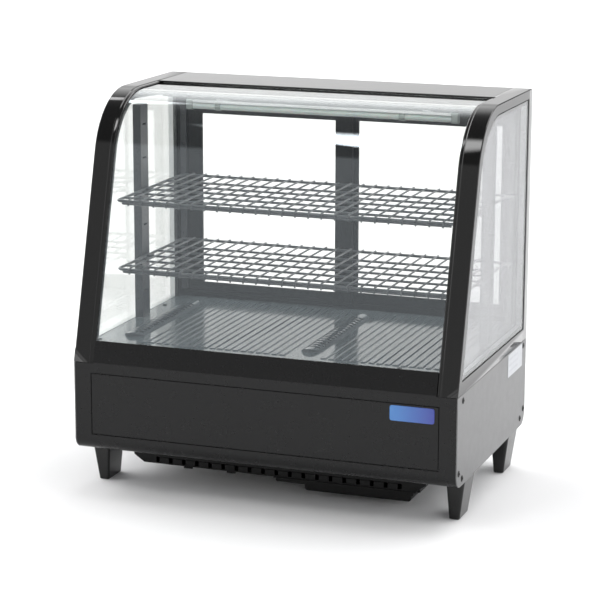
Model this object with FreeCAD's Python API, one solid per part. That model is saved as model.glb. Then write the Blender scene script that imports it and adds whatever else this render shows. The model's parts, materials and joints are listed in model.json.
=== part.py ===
import FreeCAD, Part
import math
import os

# Countertop refrigerated display case with a curved front glass, in millimetres.
# Origin: centre of the footprint, on the surface the four legs stand on. +Z is up.
# The front faces -Y, the sliding service doors are at the back (+Y).

V = FreeCAD.Vector
AXIS_X = V(1, 0, 0)
AXIS_Y = V(0, 1, 0)
AXIS_Z = V(0, 0, 1)
SIDES = {"left": -1, "right": 1}

# ---------------------------------------------------------------- driving dimensions
width = 682.0
height = 675.0
front_y = -225.0
back_y = 210.0
rear_most_y = 225.8
body_bottom_z = 72.0
seam_z = 227.0
break_z = 229.0
sill_top_z = 264.5
deck_top_z = 258.0
curve_radius = 130.0
curve_centre = (-3.5, 545.0)
half = width / 2
gap = 0.25

# curved side frames
band_width = 36.0
band_depth = 16.5
band_flat = 29.0
bead_drop = 1.2
bead_edge = 1.3
band_edge_radius = 2.0
glass_recess = 3.6
glass_groove = 5.0
glass_bite = 5.0
wall_width = 18.0
rear_post_depth = 21.5
bottom_rail_top_z = 249.0
top_rear_radius = 6.0

# glazing
pane = 3.7
side_gasket = 1.5
rear_gasket = 5.0
spacer_width = 7.0
front_glass_low_z = 253.0
front_glass_top_y = 80.0

# roof
roof_front_y = 74.5
roof_sheet = 2.0
roof_lip = 3.5
roof_half = half - 33.0
ceiling_bottom_z = 650.0

# lower body
sheet = 2.0
fascia_sheet = 3.0
front_low_radius = 22.0
rear_low_radius = 25.0
access_half = 310.0
access_z = (101.0, 210.0)
access_gap = 1.2
screw_head_radius = 5.5
screw_head_height = 1.8
screw_shank_radius = 2.0
side_screw_places = [(-194.5, 216.0), (189.5, 218.5), (198.0, 100.7),
                     (177.4, 87.4), (-213.4, 97.2), (-193.8, 84.2)]

# chilled floor
deck_sheet = 6.0
deck_front_y = -198.0
deck_rear_y = 192.6
rib_pitch = 14.0
rib_base = 11.0
rib_top = 8.4
rib_height = 1.8
rib_front_y = -174.0
rib_rear_y = 166.0
grille_x = {"left": -269.0, "centre": 57.0}
grille_half = 17.0
grille_y = (-141.0, 134.0)
grille_rise = 7.0
grille_pitch = 14.0
well_x = (-306.0, 76.0)
well_y = (-184.0, 172.0)
well_floor_z = 112.0
foam = 16.0
drain_place = (62.0, -60.0)
drain_radius = 7.0

# shelves
shelf_z = {"upper": 490.0, "lower": 370.0}
shelf_half = 304.5
shelf_y = (-118.0, 169.5)
shelf_corner = 10.0
frame_wire = 2.5
grid_wire = 1.6
depth_wires = 25
cross_wires = 5
cross_wire = 2.1
cross_rear_y = 95.0
cross_pitch = 46.0
front_drop = 7.2
front_bend = 4.0
front_rail = 2.0
front_rail_below = 4.2
weld = 0.8
post_face = 308.0
post_y = (-6.5, 25.0)
post_top_z = 641.0
slot_pitch = 60.0
clip_thick = 3.0

# sliding doors
track_y = (193.0, 216.0)
track_half = 322.6
track_z = (252.0, 657.0)
lip_half = 302.0
lip_z = (268.0, 628.0)
channel_half = 319.0
channel_z = (259.0, 652.0)
door_y = {"left": (195.0, 203.6), "right": (205.6, 214.2)}
door_x = {"left": (-309.0, 17.0), "right": (-9.0, 317.0)}
door_z = (260.0, 648.0)
door_slack = 0.4
stile = 33.0
rail_low_top_z = 285.0
rail_high_bottom_z = 606.0
door_pane = 4.0
pane_bite = 5.0
pull_size = (11.0, 100.0)
pull_depth = 7.0
pull_z = 440.0

# legs
leg_height = 72.0
leg_bottom = (310.0, 328.0, 26.5)
leg_top = (305.0, 338.0, 33.0)
leg_centre_y = (-133.0, 145.0)

# underside
vent_half = 266.0
vent_chamfer = 19.0
vent_y = (-147.5, 150.0)
vent_z = (36.0, 71.8)
vent_wall = 2.5
vent_slot = (6.5, 9.3)
vent_pitch = 24.5
tray_x = (-9.0, 246.0)
tray_deep_x = (48.0, 242.0)
tray_y = (-139.5, 45.0)
tray_z = (15.5, 25.5, 33.0)
tray_wall = 2.0

# machine room
fan_radius = 58.0
fan_hub_radius = 16.0
fan_blades = 7
cold_fan_radius = 46.0
compressor_place = (215.0, -70.0)
compressor_radius = 58.0


# ---------------------------------------------------------------- helpers
def box(x0, x1, y0, y1, z0, z1):
    return Part.makeBox(x1 - x0, y1 - y0, z1 - z0, V(x0, y0, z0))


def rounded_box(x0, x1, y0, y1, z0, z1, radius, axis):
    """Box whose four edges along one axis are rounded."""
    solid = box(x0, x1, y0, y1, z0, z1)
    edges = [e for e in solid.Edges if abs(abs(e.tangentAt(e.FirstParameter).dot(axis)) - 1) < 1e-6]
    return solid.makeFillet(radius, edges)


def rod(start, axis, length, radius):
    return Part.makeCylinder(radius, length, start, axis)


def poly_face(points):
    return Part.Face(Part.makePolygon([V(*p) for p in points + points[:1]]))


def fuse(shapes):
    if len(shapes) == 1:
        return shapes[0]
    return shapes[0].multiFuse(shapes[1:]).removeSplitter()


def cut(shape, tools):
    return shape.cut(tools)


def mirror_x(shape):
    return shape.mirror(V(0, 0, 0), AXIS_X)


def for_side(shape_right, side):
    return shape_right if side == "right" else mirror_x(shape_right)


def save(name, shapes):
    group = shapes if isinstance(shapes, list) else [shapes]
    solids = [s for shape in group for s in shape.Solids]
    whole = solids[0] if len(solids) == 1 else Part.makeCompound(solids)
    whole.exportStep("parts/" + name + ".step")
    print(name, len(solids), "solids", round(sum(s.Volume for s in solids) / 1000, 1), "cm3")


# ---------------------------------------------------------------- side outline
def lean_angle():
    """Lean of the front from the vertical, tangent to the top curve."""
    rise = curve_centre[1] - break_z
    run = curve_centre[0] - front_y
    reach = math.hypot(rise, run)
    from_level = math.atan2(rise, run) + math.asin(curve_radius / reach)
    return math.pi / 2 - from_level


LEAN = lean_angle()


def tangent_point(inset):
    radius = curve_radius - inset
    return (curve_centre[0] - radius * math.cos(LEAN), curve_centre[1] + radius * math.sin(LEAN))


def slant_y(z, inset):
    """Y of the leaning front at a height, moved inwards by inset."""
    y, z_top = tangent_point(inset)
    return y + (z - z_top) * math.tan(LEAN)


def outline_face(inset, low_z, rear_y, x=0.0, corner=0.0):
    """Side profile of the display space as a face in a plane of constant X."""
    ty, tz = tangent_point(inset)
    radius = curve_radius - inset
    middle = (math.pi - LEAN + math.pi / 2) / 2
    arc_mid = V(x, curve_centre[0] + radius * math.cos(middle), curve_centre[1] + radius * math.sin(middle))
    top_z = curve_centre[1] + radius
    start = V(x, slant_y(low_z, inset), low_z)
    touch = V(x, ty, tz)
    crown = V(x, curve_centre[0], top_z)
    low_rear = V(x, rear_y, low_z)
    edges = [Part.LineSegment(start, touch), Part.Arc(touch, arc_mid, crown)]
    if corner:
        bend = corner * (1 - math.sqrt(0.5))
        edges.append(Part.LineSegment(crown, V(x, rear_y - corner, top_z)))
        edges.append(Part.Arc(V(x, rear_y - corner, top_z), V(x, rear_y - bend, top_z - bend),
                              V(x, rear_y, top_z - corner)))
        edges.append(Part.LineSegment(V(x, rear_y, top_z - corner), low_rear))
    else:
        edges.append(Part.LineSegment(crown, V(x, rear_y, top_z)))
        edges.append(Part.LineSegment(V(x, rear_y, top_z), low_rear))
    edges.append(Part.LineSegment(low_rear, start))
    return Part.Face(Part.Wire([e.toShape() for e in edges]))


def outline_prism(inset, low_z, rear_y, x0, x1, corner=0.0):
    return outline_face(inset, low_z, rear_y, x0, corner).extrude(V(x1 - x0, 0, 0))


# ---------------------------------------------------------------- display space
def band_section(flat):
    """Section of the curved trim across its width: (x, distance out from the outline)."""
    inner = half - band_width
    r = band_edge_radius
    bend = r * (1 - math.sqrt(0.5))
    lines = [(half, -band_depth), (half, -r)]
    arc = [(half, -r), (half - bend, -bend), (half - r, 0)]
    if flat:
        rest = [(half - r, 0), (roof_half + gap, 0), (roof_half + gap, -roof_lip - gap),
                (inner, -roof_lip - gap), (inner, -band_depth), (half, -band_depth)]
    else:
        rest = [(half - r, 0), (half - band_flat, 0), (half - band_flat - 0.6, -bead_drop),
                (inner + bead_edge, -bead_drop), (inner, -bead_drop - bead_edge), (inner, -glass_recess),
                (inner + glass_bite, -glass_recess), (inner + glass_bite, -glass_recess - glass_groove),
                (inner, -glass_recess - glass_groove), (inner, -band_depth), (half, -band_depth)]
    return lines, arc, rest


def section_face(flat, place):
    """Turn the band section into a face with a function that places (x, out) points."""
    lines, arc, rest = band_section(flat)
    edges = [Part.LineSegment(place(*lines[0]), place(*lines[1])).toShape()]
    edges.append(Part.Arc(place(*arc[0]), place(*arc[1]), place(*arc[2])).toShape())
    for a, b in zip(rest, rest[1:]):
        edges.append(Part.LineSegment(place(*a), place(*b)).toShape())
    return Part.Face(Part.Wire(edges))


def side_frame(side):
    ty, tz = tangent_point(0)
    normal = (-math.cos(LEAN), math.sin(LEAN))
    down = V(0, -math.sin(LEAN), -math.cos(LEAN)) * (tz - seam_z + 30) / math.cos(LEAN)

    def at_tangent(x, out):
        return V(x, ty + normal[0] * out, tz + normal[1] * out)

    def at_crown(x, out):
        return V(x, curve_centre[0], height + out)

    def at_roof(x, out):
        return V(x, roof_front_y, height + out)

    leaning = section_face(False, at_tangent).extrude(down)
    leaning = cut(leaning, [box(0, width, front_y - 90, back_y, 0, seam_z)])
    axis_point = V(0, curve_centre[0], curve_centre[1])
    sweep = 90 - math.degrees(LEAN)
    curved = section_face(False, at_crown).revolve(axis_point, AXIS_X, sweep)
    over_glass = section_face(False, at_crown).extrude(V(0, roof_front_y - curve_centre[0], 0))
    beside_roof = section_face(True, at_roof).extrude(V(0, back_y - roof_front_y, 0))
    wall_in = half - wall_width
    rear_post = box(wall_in, half, back_y - rear_post_depth, back_y, seam_z, height - 1)
    bottom_rail = box(wall_in, half, front_y - 5, back_y, seam_z, bottom_rail_top_z)
    ring = fuse([leaning, curved, over_glass, beside_roof, rear_post, bottom_rail])
    hull = outline_prism(0, seam_z, back_y, 0, half, top_rear_radius)
    inner = half - band_width
    groove_top = height - glass_recess
    groove = box(inner - 1, inner + glass_bite, roof_front_y - 1, front_glass_top_y + gap,
                 groove_top - glass_groove, groove_top)
    return for_side(cut(ring.common(hull), [groove]), side)


def window_face_args(extra_front, extra_low, extra_rear):
    inset = band_depth + extra_front
    return inset, bottom_rail_top_z + extra_low, back_y - rear_post_depth - extra_rear


def side_glazing(side):
    """Outer and inner pane of one double-glazed side."""
    args = window_face_args(side_gasket, side_gasket, rear_gasket)
    outer = outline_prism(*args, half - 0.8 - pane, half - 0.8)
    inner = outline_prism(*args, half - wall_width + gap, half - wall_width + gap + pane)
    return [for_side(outer, side), for_side(inner, side)]


def glazing_gasket(side):
    """Rubber ring that holds the two panes in the side frame."""
    x_in = half - wall_width + gap
    x_out = half - 0.5
    opening = window_face_args(gap, gap, gap)
    panes = window_face_args(side_gasket - 0.1, side_gasket - 0.1, rear_gasket - 0.1)
    ring = cut(outline_prism(*opening, x_in, x_out), [outline_prism(*panes, x_in - 1, x_out + 1)])
    return for_side(ring, side)


def glazing_spacer(side):
    """Metal bar that keeps the two panes apart along their edges."""
    x0 = half - wall_width + gap + pane + 0.1
    x1 = half - 0.8 - pane - 0.1
    outside = window_face_args(side_gasket, side_gasket, rear_gasket)
    inside = window_face_args(side_gasket + spacer_width, side_gasket + spacer_width,
                              rear_gasket + spacer_width)
    bar = cut(outline_prism(*outside, x0, x1), [outline_prism(*inside, x0 - 1, x1 + 1)])
    return for_side(bar, side)


def bent_sheet(inset_out, inset_in, low_z, rear_y, x0, x1):
    """Sheet that follows the leaning front and the top curve."""
    outer = outline_prism(inset_out, low_z, rear_y, x0, x1)
    inner = outline_prism(inset_in, low_z - 1, rear_y + 1, x0 - 1, x1 + 1)
    return cut(outer, [inner])


def front_glass():
    reach = half - band_width + glass_bite - gap
    return bent_sheet(glass_recess + gap, glass_recess + glass_groove - gap, front_glass_low_z,
                      front_glass_top_y, -reach, reach)


def front_glass_seal():
    """Rubber strip between the sill and the lower edge of the front glass."""
    reach = half - band_width - gap
    strip = bent_sheet(fascia_sheet + 0.2, glass_recess + 0.1, front_glass_low_z + 2, roof_front_y,
                       -reach, reach)
    return strip.common(box(-width, width, front_y, 0, body_bottom_z, sill_top_z - fascia_sheet - 0.3))


def top_panel():
    skin = box(-roof_half, roof_half, roof_front_y, back_y - 0.5, height - roof_sheet, height)
    lip_low = height - roof_lip
    front_lip = box(-roof_half, roof_half, roof_front_y, roof_front_y + roof_sheet,
                    height - glass_recess + 0.1, height)
    rear_in = half - band_width - gap
    rear_lip = box(-rear_in, rear_in, back_y - 0.5 - roof_sheet, back_y - 0.5, track_z[1] + 0.3, height)
    side_lips = [box(s * roof_half - roof_sheet * (s > 0), s * roof_half + roof_sheet * (s < 0),
                     roof_front_y, back_y - 0.5, lip_low, height) for s in (-1, 1)]
    hull = outline_prism(0, seam_z, back_y - 0.5, -half, half, top_rear_radius)
    return fuse([skin, front_lip, rear_lip] + side_lips).common(hull)


def ceiling_liner():
    reach = half - band_width - gap
    slab = box(-reach, reach, front_glass_top_y + 4, deck_rear_y, ceiling_bottom_z, height - roof_lip - 0.5)
    return slab


# ---------------------------------------------------------------- lower body
def fascia_section():
    """Folded front sheet: lip over the glass edge, sill, front and rolled lower edge."""
    t = fascia_sheet
    lip = glass_recess - 0.2
    top = sill_top_z
    r = front_low_radius
    low = body_bottom_z
    centre = (front_y + r, low + r)
    back = front_y + r + 13
    k = math.sqrt(0.5)

    def p(y, z):
        return V(0, y, z)

    def lean(z, inset):
        return p(slant_y(z, inset), z)

    outer_mid = p(centre[0] - r * k, centre[1] - r * k)
    inner_mid = p(centre[0] - (r - t) * k, centre[1] - (r - t) * k)
    chain = [p(back, low), p(centre[0], low)]
    edges = [Part.LineSegment(*chain)]
    edges.append(Part.Arc(p(centre[0], low), outer_mid, p(front_y, centre[1])))
    run = [p(front_y, centre[1]), p(front_y, break_z), lean(top, 0), lean(top, lip), lean(top - t, lip),
           lean(top - t, t), p(front_y + t, break_z + t * math.tan(LEAN / 2)), p(front_y + t, centre[1])]
    for a, b in zip(run, run[1:]):
        edges.append(Part.LineSegment(a, b))
    edges.append(Part.Arc(p(front_y + t, centre[1]), inner_mid, p(centre[0], low + t)))
    edges.append(Part.LineSegment(p(centre[0], low + t), p(back, low + t)))
    edges.append(Part.LineSegment(p(back, low + t), p(back, low)))
    return Part.Face(Part.Wire([e.toShape() for e in edges]))


def front_fascia():
    reach = half - sheet - 0.2
    inner = half - band_width - gap
    sheet_metal = fascia_section().extrude(V(2 * reach, 0, 0))
    sheet_metal.translate(V(-reach, 0, 0))
    tools = [box(s * inner if s > 0 else -width, width if s > 0 else -inner, front_y - 5, 0,
                 seam_z - gap, height) for s in (-1, 1)]
    pocket = box(-access_half, access_half, front_y - 1, front_y + sheet + 0.1, *access_z)
    return cut(sheet_metal, tools + [pocket])


def front_access_panel():
    g = access_gap
    plate = box(-access_half + g, access_half - g, front_y + 0.2, front_y + sheet,
                access_z[0] + g, access_z[1] - g)
    front_edges = [e for e in plate.Edges if all(abs(v.Y - front_y - 0.2) < 1e-6 for v in e.Vertexes)]
    return plate.makeFillet(0.9, front_edges)


def nameplate():
    """Blank plate with rounded corners on the access panel."""
    plate_half = (38.0, 13.0)
    centre = (264.0, 193.0)
    return rounded_box(centre[0] - plate_half[0], centre[0] + plate_half[0], front_y - 0.8, front_y + 0.2,
                       centre[1] - plate_half[1], centre[1] + plate_half[1], 4.0, AXIS_Y)


def lower_profile(low_z, high_z, rear_y, front_inset, x):
    """Side panel outline with a small front and a larger rear lower corner."""
    r1 = front_low_radius - front_inset
    r2 = rear_low_radius
    k = 1 - math.sqrt(0.5)
    f = front_y + front_inset
    pts = {"a": V(x, f, high_z), "b": V(x, f, low_z + r1), "c": V(x, f + r1, low_z),
           "d": V(x, rear_y - r2, low_z), "e": V(x, rear_y, low_z + r2), "g": V(x, rear_y, high_z)}
    edges = [Part.LineSegment(pts["a"], pts["b"]),
             Part.Arc(pts["b"], V(x, f + r1 * k, low_z + r1 * k), pts["c"]),
             Part.LineSegment(pts["c"], pts["d"]),
             Part.Arc(pts["d"], V(x, rear_y - r2 * k, low_z + r2 * k), pts["e"]),
             Part.LineSegment(pts["e"], pts["g"]),
             Part.LineSegment(pts["g"], pts["a"])]
    return Part.Face(Part.Wire([e.toShape() for e in edges]))


def side_panel(side):
    face = lower_profile(body_bottom_z, seam_z - gap, back_y, 0, half - sheet)
    plate = face.extrude(V(sheet, 0, 0))
    holes = [rod(V(half - 5, y, z), AXIS_X, 10, screw_shank_radius + 0.2) for y, z in side_screw_places]
    return for_side(cut(plate, holes), side)


def dome_screw(place, axis, head_radius, head_height, shank_radius, shank_length):
    """Round-headed screw: a shallow dome on a shank that points against axis."""
    ball = (head_radius ** 2 + head_height ** 2) / (2 * head_height)
    dome = Part.makeSphere(ball, place + axis * (head_height - ball))
    slab = Part.makeCylinder(head_radius, head_height, place, axis)
    socket = Part.makeCylinder(head_radius * 0.36, head_height * 0.6, place + axis * head_height * 0.5, axis)
    shank = Part.makeCylinder(shank_radius, shank_length, place - axis * shank_length, axis)
    return dome.common(slab).cut(socket).fuse(shank)


def side_panel_screws():
    screws = []
    for s in SIDES.values():
        for y, z in side_screw_places:
            screws.append(dome_screw(V(s * half, y, z), AXIS_X * s, screw_head_radius,
                                     screw_head_height, screw_shank_radius, sheet))
    return screws


def rating_label():
    return box(half, half + 0.4, 86.5, 181.5, 184.0, 224.5)


def base_pan():
    """Bottom sheet that curls up at the back, with air slots under the machine room."""
    r = rear_low_radius - sheet
    rear = back_y - sheet
    centre = (back_y - rear_low_radius, body_bottom_z + rear_low_radius)
    k = math.sqrt(0.5)
    x = -(half - sheet - 0.2)
    y0 = front_y + front_low_radius + 13.2
    low = body_bottom_z
    t = sheet
    pts = {"a": V(x, y0, low), "b": V(x, centre[0], low), "c": V(x, rear, centre[1]),
           "d": V(x, rear - t, centre[1]), "e": V(x, centre[0], low + t), "f": V(x, y0, low + t)}
    r_out = rear_low_radius - sheet
    r_out_z = rear_low_radius
    ease = V(x, centre[0] + r_out * k, centre[1] - r_out_z * k)
    ease_in = V(x, centre[0] + (r - t) * k, centre[1] - (r_out_z - t) * k)
    bend = Part.BSplineCurve()
    bend.interpolate(Points=[pts["b"], ease, pts["c"]], Tangents=[V(0, 1, 0), V(0, 1, 1), V(0, 0, 1)],
                     TangentFlags=[True, True, True])
    bend_in = Part.BSplineCurve()
    bend_in.interpolate(Points=[pts["d"], ease_in, pts["e"]],
                        Tangents=[V(0, 0, -1), V(0, -1, -1), V(0, -1, 0)],
                        TangentFlags=[True, True, True])
    edges = [Part.LineSegment(pts["a"], pts["b"]), bend, Part.LineSegment(pts["c"], pts["d"]), bend_in,
             Part.LineSegment(pts["e"], pts["f"]), Part.LineSegment(pts["f"], pts["a"])]
    pan = Part.Face(Part.Wire([e.toShape() for e in edges])).extrude(V(-2 * x, 0, 0))
    slots = [box(110, 300, y, y + 4, low - 1, low + t + 1) for y in range(-130, 130, 14)]
    return cut(pan, slots + [drain_way()])


def drain_way():
    return rod(V(*drain_place, 0), AXIS_Z, height, drain_radius + 0.3)


def rear_panel():
    wide = half - sheet - 0.2
    low = body_bottom_z + rear_low_radius + 0.2
    lower = box(-wide, wide, back_y - 2 * sheet, back_y - sheet, low, seam_z - 0.5)
    upper = box(-track_half, track_half, back_y - 2 * sheet, back_y - sheet, low, track_z[0] - gap)
    louvres = [box(x, x + 62, back_y - 8, back_y + 1, z, z + 3.2)
               for x in (108, 182, 256) for z in range(112, 208, 8)]
    windows = [box(x0, x1, back_y - 8, back_y + 1, z0, z1) for x0, x1, z0, z1 in rear_cutouts()]
    gland = rod(V(*gland_place()) - AXIS_Y * 9, AXIS_Y, 12, 8.3)
    return cut(fuse([lower, upper]), louvres + windows + [gland])


# ---------------------------------------------------------------- controls on the rear panel
controller_place = (-200.0, 182.0)
controller_half = (39.0, 18.0)
switch_places = {"power": (-270.0, 145.0), "light": (-235.0, 145.0)}
switch_half = (7.5, 12.0)
panel_face_y = back_y - sheet


def gland_place():
    return (-290.0, panel_face_y, 112.0)


def rear_cutouts():
    holes = [(controller_place[0] - 36, controller_place[0] + 36,
              controller_place[1] - 15, controller_place[1] + 15)]
    for x, z in switch_places.values():
        holes.append((x - switch_half[0], x + switch_half[0], z - switch_half[1], z + switch_half[1]))
    return holes


def controller_bezel():
    x, z = controller_place
    face = rounded_box(x - controller_half[0], x + controller_half[0], panel_face_y, panel_face_y + 5,
                       z - controller_half[1], z + controller_half[1], 5.0, AXIS_Y)
    body = box(x - 35.5, x + 35.5, panel_face_y - 18, panel_face_y + 1, z - 14.5, z + 14.5)
    window = box(x - 30, x + 8, panel_face_y + 2, panel_face_y + 6, z - 10, z + 10)
    shell = cut(fuse([face, body]), [window])
    wells = [rod(V(kx, panel_face_y + 1.5, kz), AXIS_Y, 10, 4.3) for kx, kz in key_places().values()]
    return cut(shell, wells)


def controller_display():
    x, z = controller_place
    return box(x - 29.8, x + 7.8, panel_face_y + 2, panel_face_y + 4.6, z - 9.8, z + 9.8)


def key_places():
    x, z = controller_place
    return {"set": (x + 15.5, z - 7.0), "up": (x + 28.0, z + 7.0), "down": (x + 28.0, z - 7.0)}


def controller_key(name):
    kx, kz = key_places()[name]
    cap = rod(V(kx, panel_face_y + 3.2, kz), AXIS_Y, 3.6, 4.0)
    rim = [e for e in cap.Edges if all(abs(v.Y - panel_face_y - 6.8) < 1e-6 for v in e.Vertexes)]
    return cap.makeFillet(0.6, rim[:1])


def switch_frames():
    frames = []
    for x, z in switch_places.values():
        w, h = switch_half
        rim = rounded_box(x - w - 2.5, x + w + 2.5, panel_face_y, panel_face_y + 2.2,
                          z - h - 2.5, z + h + 2.5, 2.0, AXIS_Y)
        body = box(x - w + 0.3, x + w - 0.3, panel_face_y - 18, panel_face_y + 1, z - h + 0.3, z + h - 0.3)
        hollow = box(x - w + 1.6, x + w - 1.6, panel_face_y - 9, panel_face_y + 9, z - h + 1.6, z + h - 1.6)
        frames.append(cut(fuse([rim, body]), [hollow]))
    return frames


def switch_rocker(name):
    """Rocker that pivots about a line along X, one end raised."""
    x, z = switch_places[name]
    w, h = switch_half[0] - 1.9, switch_half[1] - 3.4
    y = panel_face_y
    face = poly_face([(x - w, y - 5, z - h), (x - w, y + 1.6, z - h), (x - w, y + 3.0, z - h * 0.5),
                      (x - w, y + 3.4, z), (x - w, y + 5.0, z + h * 0.9), (x - w, y + 4.2, z + h),
                      (x - w, y - 5, z + h)])
    return face.extrude(V(2 * w, 0, 0))


def wall_spacers():
    """Two rubber buttons that keep the case off the wall behind it."""
    buttons = []
    for s in SIDES.values():
        foot = rod(V(s * 328, panel_face_y, 214), AXIS_Y, rear_most_y - panel_face_y, 9.0)
        rim = [e for e in foot.Edges if all(abs(v.Y - rear_most_y) < 1e-6 for v in e.Vertexes)]
        buttons.append(foot.makeFillet(2.0, rim[:1]))
    return buttons


def cable_gland():
    """Lead inlet: hexagon body, dome nut and an open bore."""
    x, y, z = gland_place()
    barrel = rod(V(x, y - 8, z), AXIS_Y, 10, 8.0)
    corners = [(x + 11 * math.cos(math.radians(a)), y, z + 11 * math.sin(math.radians(a)))
               for a in range(30, 390, 60)]
    hexagon = poly_face(corners).extrude(V(0, 5, 0))
    length = rear_most_y - y
    nut = Part.makeCone(9.0, 6.2, length - 5, V(x, y + 5, z), AXIS_Y)
    bore = rod(V(x, y - 9, z), AXIS_Y, length + 10, 4.0)
    return cut(fuse([barrel, hexagon, nut]), [bore])


# ---------------------------------------------------------------- chilled floor
def insulated_base():
    """Foam-filled floor with the deep well that holds the cooling coil."""
    slab = box(-track_half, track_half, deck_front_y, deck_rear_y,
               seam_z - 0.5, deck_top_z - deck_sheet - 0.2)
    tub = box(well_x[0] - foam, well_x[1] + foam / 2, well_y[0] - foam, well_y[1] + foam,
              well_floor_z - foam, seam_z)
    well = box(*well_x, *well_y, well_floor_z, deck_top_z)
    pipe_way = box(well_x[1] - 1, well_x[1] + foam, 120, 140, 150, 180)
    x, y = drain_place
    spout = rod(V(x, y, vent_z[0] - 1.6), AXIS_Z, well_floor_z - vent_z[0], drain_radius)
    bore = rod(V(x, y, 0), AXIS_Z, deck_top_z, drain_radius - 1.8)
    return cut(fuse([slab, tub, spout]), [well, pipe_way, bore])


def rib_centres():
    left, centre = grille_x["left"], grille_x["centre"]
    clear = grille_half + 8
    spans = [(left + clear, centre - clear), (centre + clear, shelf_half - 4)]
    centres = []
    for x0, x1 in spans:
        count = int((x1 - x0) // rib_pitch)
        first = (x0 + x1 - (count - 1) * rib_pitch) / 2
        centres += [first + i * rib_pitch for i in range(count)]
    return centres


def floor_deck():
    base = box(-track_half, track_half, deck_front_y, deck_rear_y, deck_top_z - deck_sheet, deck_top_z)
    ribs = []
    for x in rib_centres():
        b, t = rib_base / 2, rib_top / 2
        face = poly_face([(x - b, rib_front_y, deck_top_z), (x + b, rib_front_y, deck_top_z),
                          (x + t, rib_front_y, deck_top_z + rib_height),
                          (x - t, rib_front_y, deck_top_z + rib_height)])
        ribs.append(face.extrude(V(0, rib_rear_y - rib_front_y, 0)))
    reach = grille_half - 2
    holes = [box(x - reach, x + reach, grille_y[0] + 8, grille_y[1] - 8, deck_top_z - 9, deck_top_z + 9)
             for x in grille_x.values()]
    holes += [rod(V(x, y, deck_top_z - 9), AXIS_Z, 18, 2.2) for x, y in deck_screw_places()]
    return cut(fuse([base] + ribs), holes)


def deck_screw_places():
    corners = [(s * 312.0, y) for s in SIDES.values() for y in (-180.0, 100.0)]
    return corners + [(s * 230.0, -187.0) for s in SIDES.values()]


def deck_screws():
    return [dome_screw(V(x, y, deck_top_z), AXIS_Z, 4.5, 1.5, 2.0, deck_sheet)
            for x, y in deck_screw_places()]


def air_grille(place):
    """Arched grille with cross slots and rounded ends that stands on the deck."""
    x = grille_x[place]
    w = grille_half + 2.5
    y0, y1 = grille_y[0] - 2.5, grille_y[1] + 2.5
    skin = 1.8
    z = deck_top_z

    def arch(reach, rise, low):
        left, right, crown = V(x - reach, y0, low), V(x + reach, y0, low), V(x, y0, z + rise)
        wire = Part.Wire([Part.Arc(left, crown, right).toShape(), Part.LineSegment(right, left).toShape()])
        return Part.Face(wire).extrude(V(0, y1 - y0, 0))

    def plan(inset):
        return rounded_box(x - w + inset, x + w - inset, y0 + inset, y1 - inset, z - 1, z + 20,
                           w - inset - 1, AXIS_Z)

    outer = arch(w, grille_rise, z).common(plan(0))
    inner = arch(w - skin, grille_rise - skin, z - 0.01).common(plan(5.5))
    first = y0 + 22
    count = int((y1 - y0 - 44) // grille_pitch) + 1
    slots = [box(x - w + 6, x + w - 6, first + i * grille_pitch - 3.5, first + i * grille_pitch + 3.5,
                 z - 1, z + 20) for i in range(count)]
    return cut(outer, [inner] + slots)


# ---------------------------------------------------------------- shelves
def slot_heights():
    base = shelf_z["lower"] - frame_wire - gap - clip_thick
    return [base + slot_pitch * i for i in range(-1, 5)]


def shelf_post(side):
    wall = 1.6
    outer = box(post_face, half - wall_width, post_y[0], post_y[1], deck_top_z + 0.3, post_top_z)
    inner = box(post_face + wall, half - wall_width + 1, post_y[0] + wall, post_y[1] - wall,
                deck_top_z - 1, post_top_z - wall)
    middle = sum(post_y) / 2
    slots = [box(post_face - 1, post_face + 2 * wall, middle - 7, middle + 7, z - 0.3, z + clip_thick + 0.3)
             for z in slot_heights()]
    return for_side(cut(outer, [inner] + slots), side)


def rear_shelf_rail(side):
    x0, x1 = post_face - 4, post_face + 8
    strip = box(x0, x1, track_y[0] - 4.2, track_y[0] - 0.1, lip_z[0] + 4, lip_z[1] - 8)
    slots = [box(x0 + 3, x1 - 3, track_y[0] - 5, track_y[0] - 1.8, z - 0.3, z + clip_thick + 0.3)
             for z in slot_heights() if lip_z[0] + 10 < z < lip_z[1] - 20]
    return for_side(cut(strip, slots), side)


def shelf_clips():
    """Four clips under each shelf: two on the posts, two on the rear rails."""
    clips = []
    middle = sum(post_y) / 2
    for z_wire in shelf_z.values():
        z1 = z_wire - frame_wire - gap
        z0 = z1 - clip_thick
        ledge = box(297, post_face - 0.1, post_y[0] - 2, post_y[1] + 2, z0, z1)
        tab = box(post_face - 0.2, post_face + 3, middle - 6.5, middle + 6.5, z0, z1)
        hook = box(297, 298.6, post_y[1] - 17, post_y[1] - 3, z0, z1 + 4)
        front = fuse([ledge, tab, hook])
        rear_ledge = box(post_face - 8, post_face + 4, 158, track_y[0] - 4.4, z0, z1)
        rear_tab = box(post_face, post_face + 4, 180, track_y[0] - 2, z0, z1)
        rear = fuse([rear_ledge, rear_tab])
        clips += [for_side(c, side) for c in (front, rear) for side in SIDES]
    return clips


def frame_loop(z):
    """Outer wire of a shelf, a closed rectangle with bent corners."""
    x, (y0, y1), r, w = shelf_half, shelf_y, shelf_corner, frame_wire
    bars = [rod(V(-x + r, y, z), AXIS_X, 2 * (x - r), w) for y in (y0, y1)]
    bars += [rod(V(s * x, y0 + r, z), AXIS_Y, y1 - y0 - 2 * r, w) for s in SIDES.values()]
    corners = []
    places = ((x - r, y1 - r, 0), (-x + r, y1 - r, 90), (-x + r, y0 + r, 180), (x - r, y0 + r, 270))
    for cx, cy, start in places:
        bend = Part.makeTorus(r, w, V(cx, cy, z), AXIS_Z, -180, 180, 90)
        bend.rotate(V(cx, cy, z), AXIS_Z, start)
        corners.append(bend)
    return fuse(bars + corners)


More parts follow.
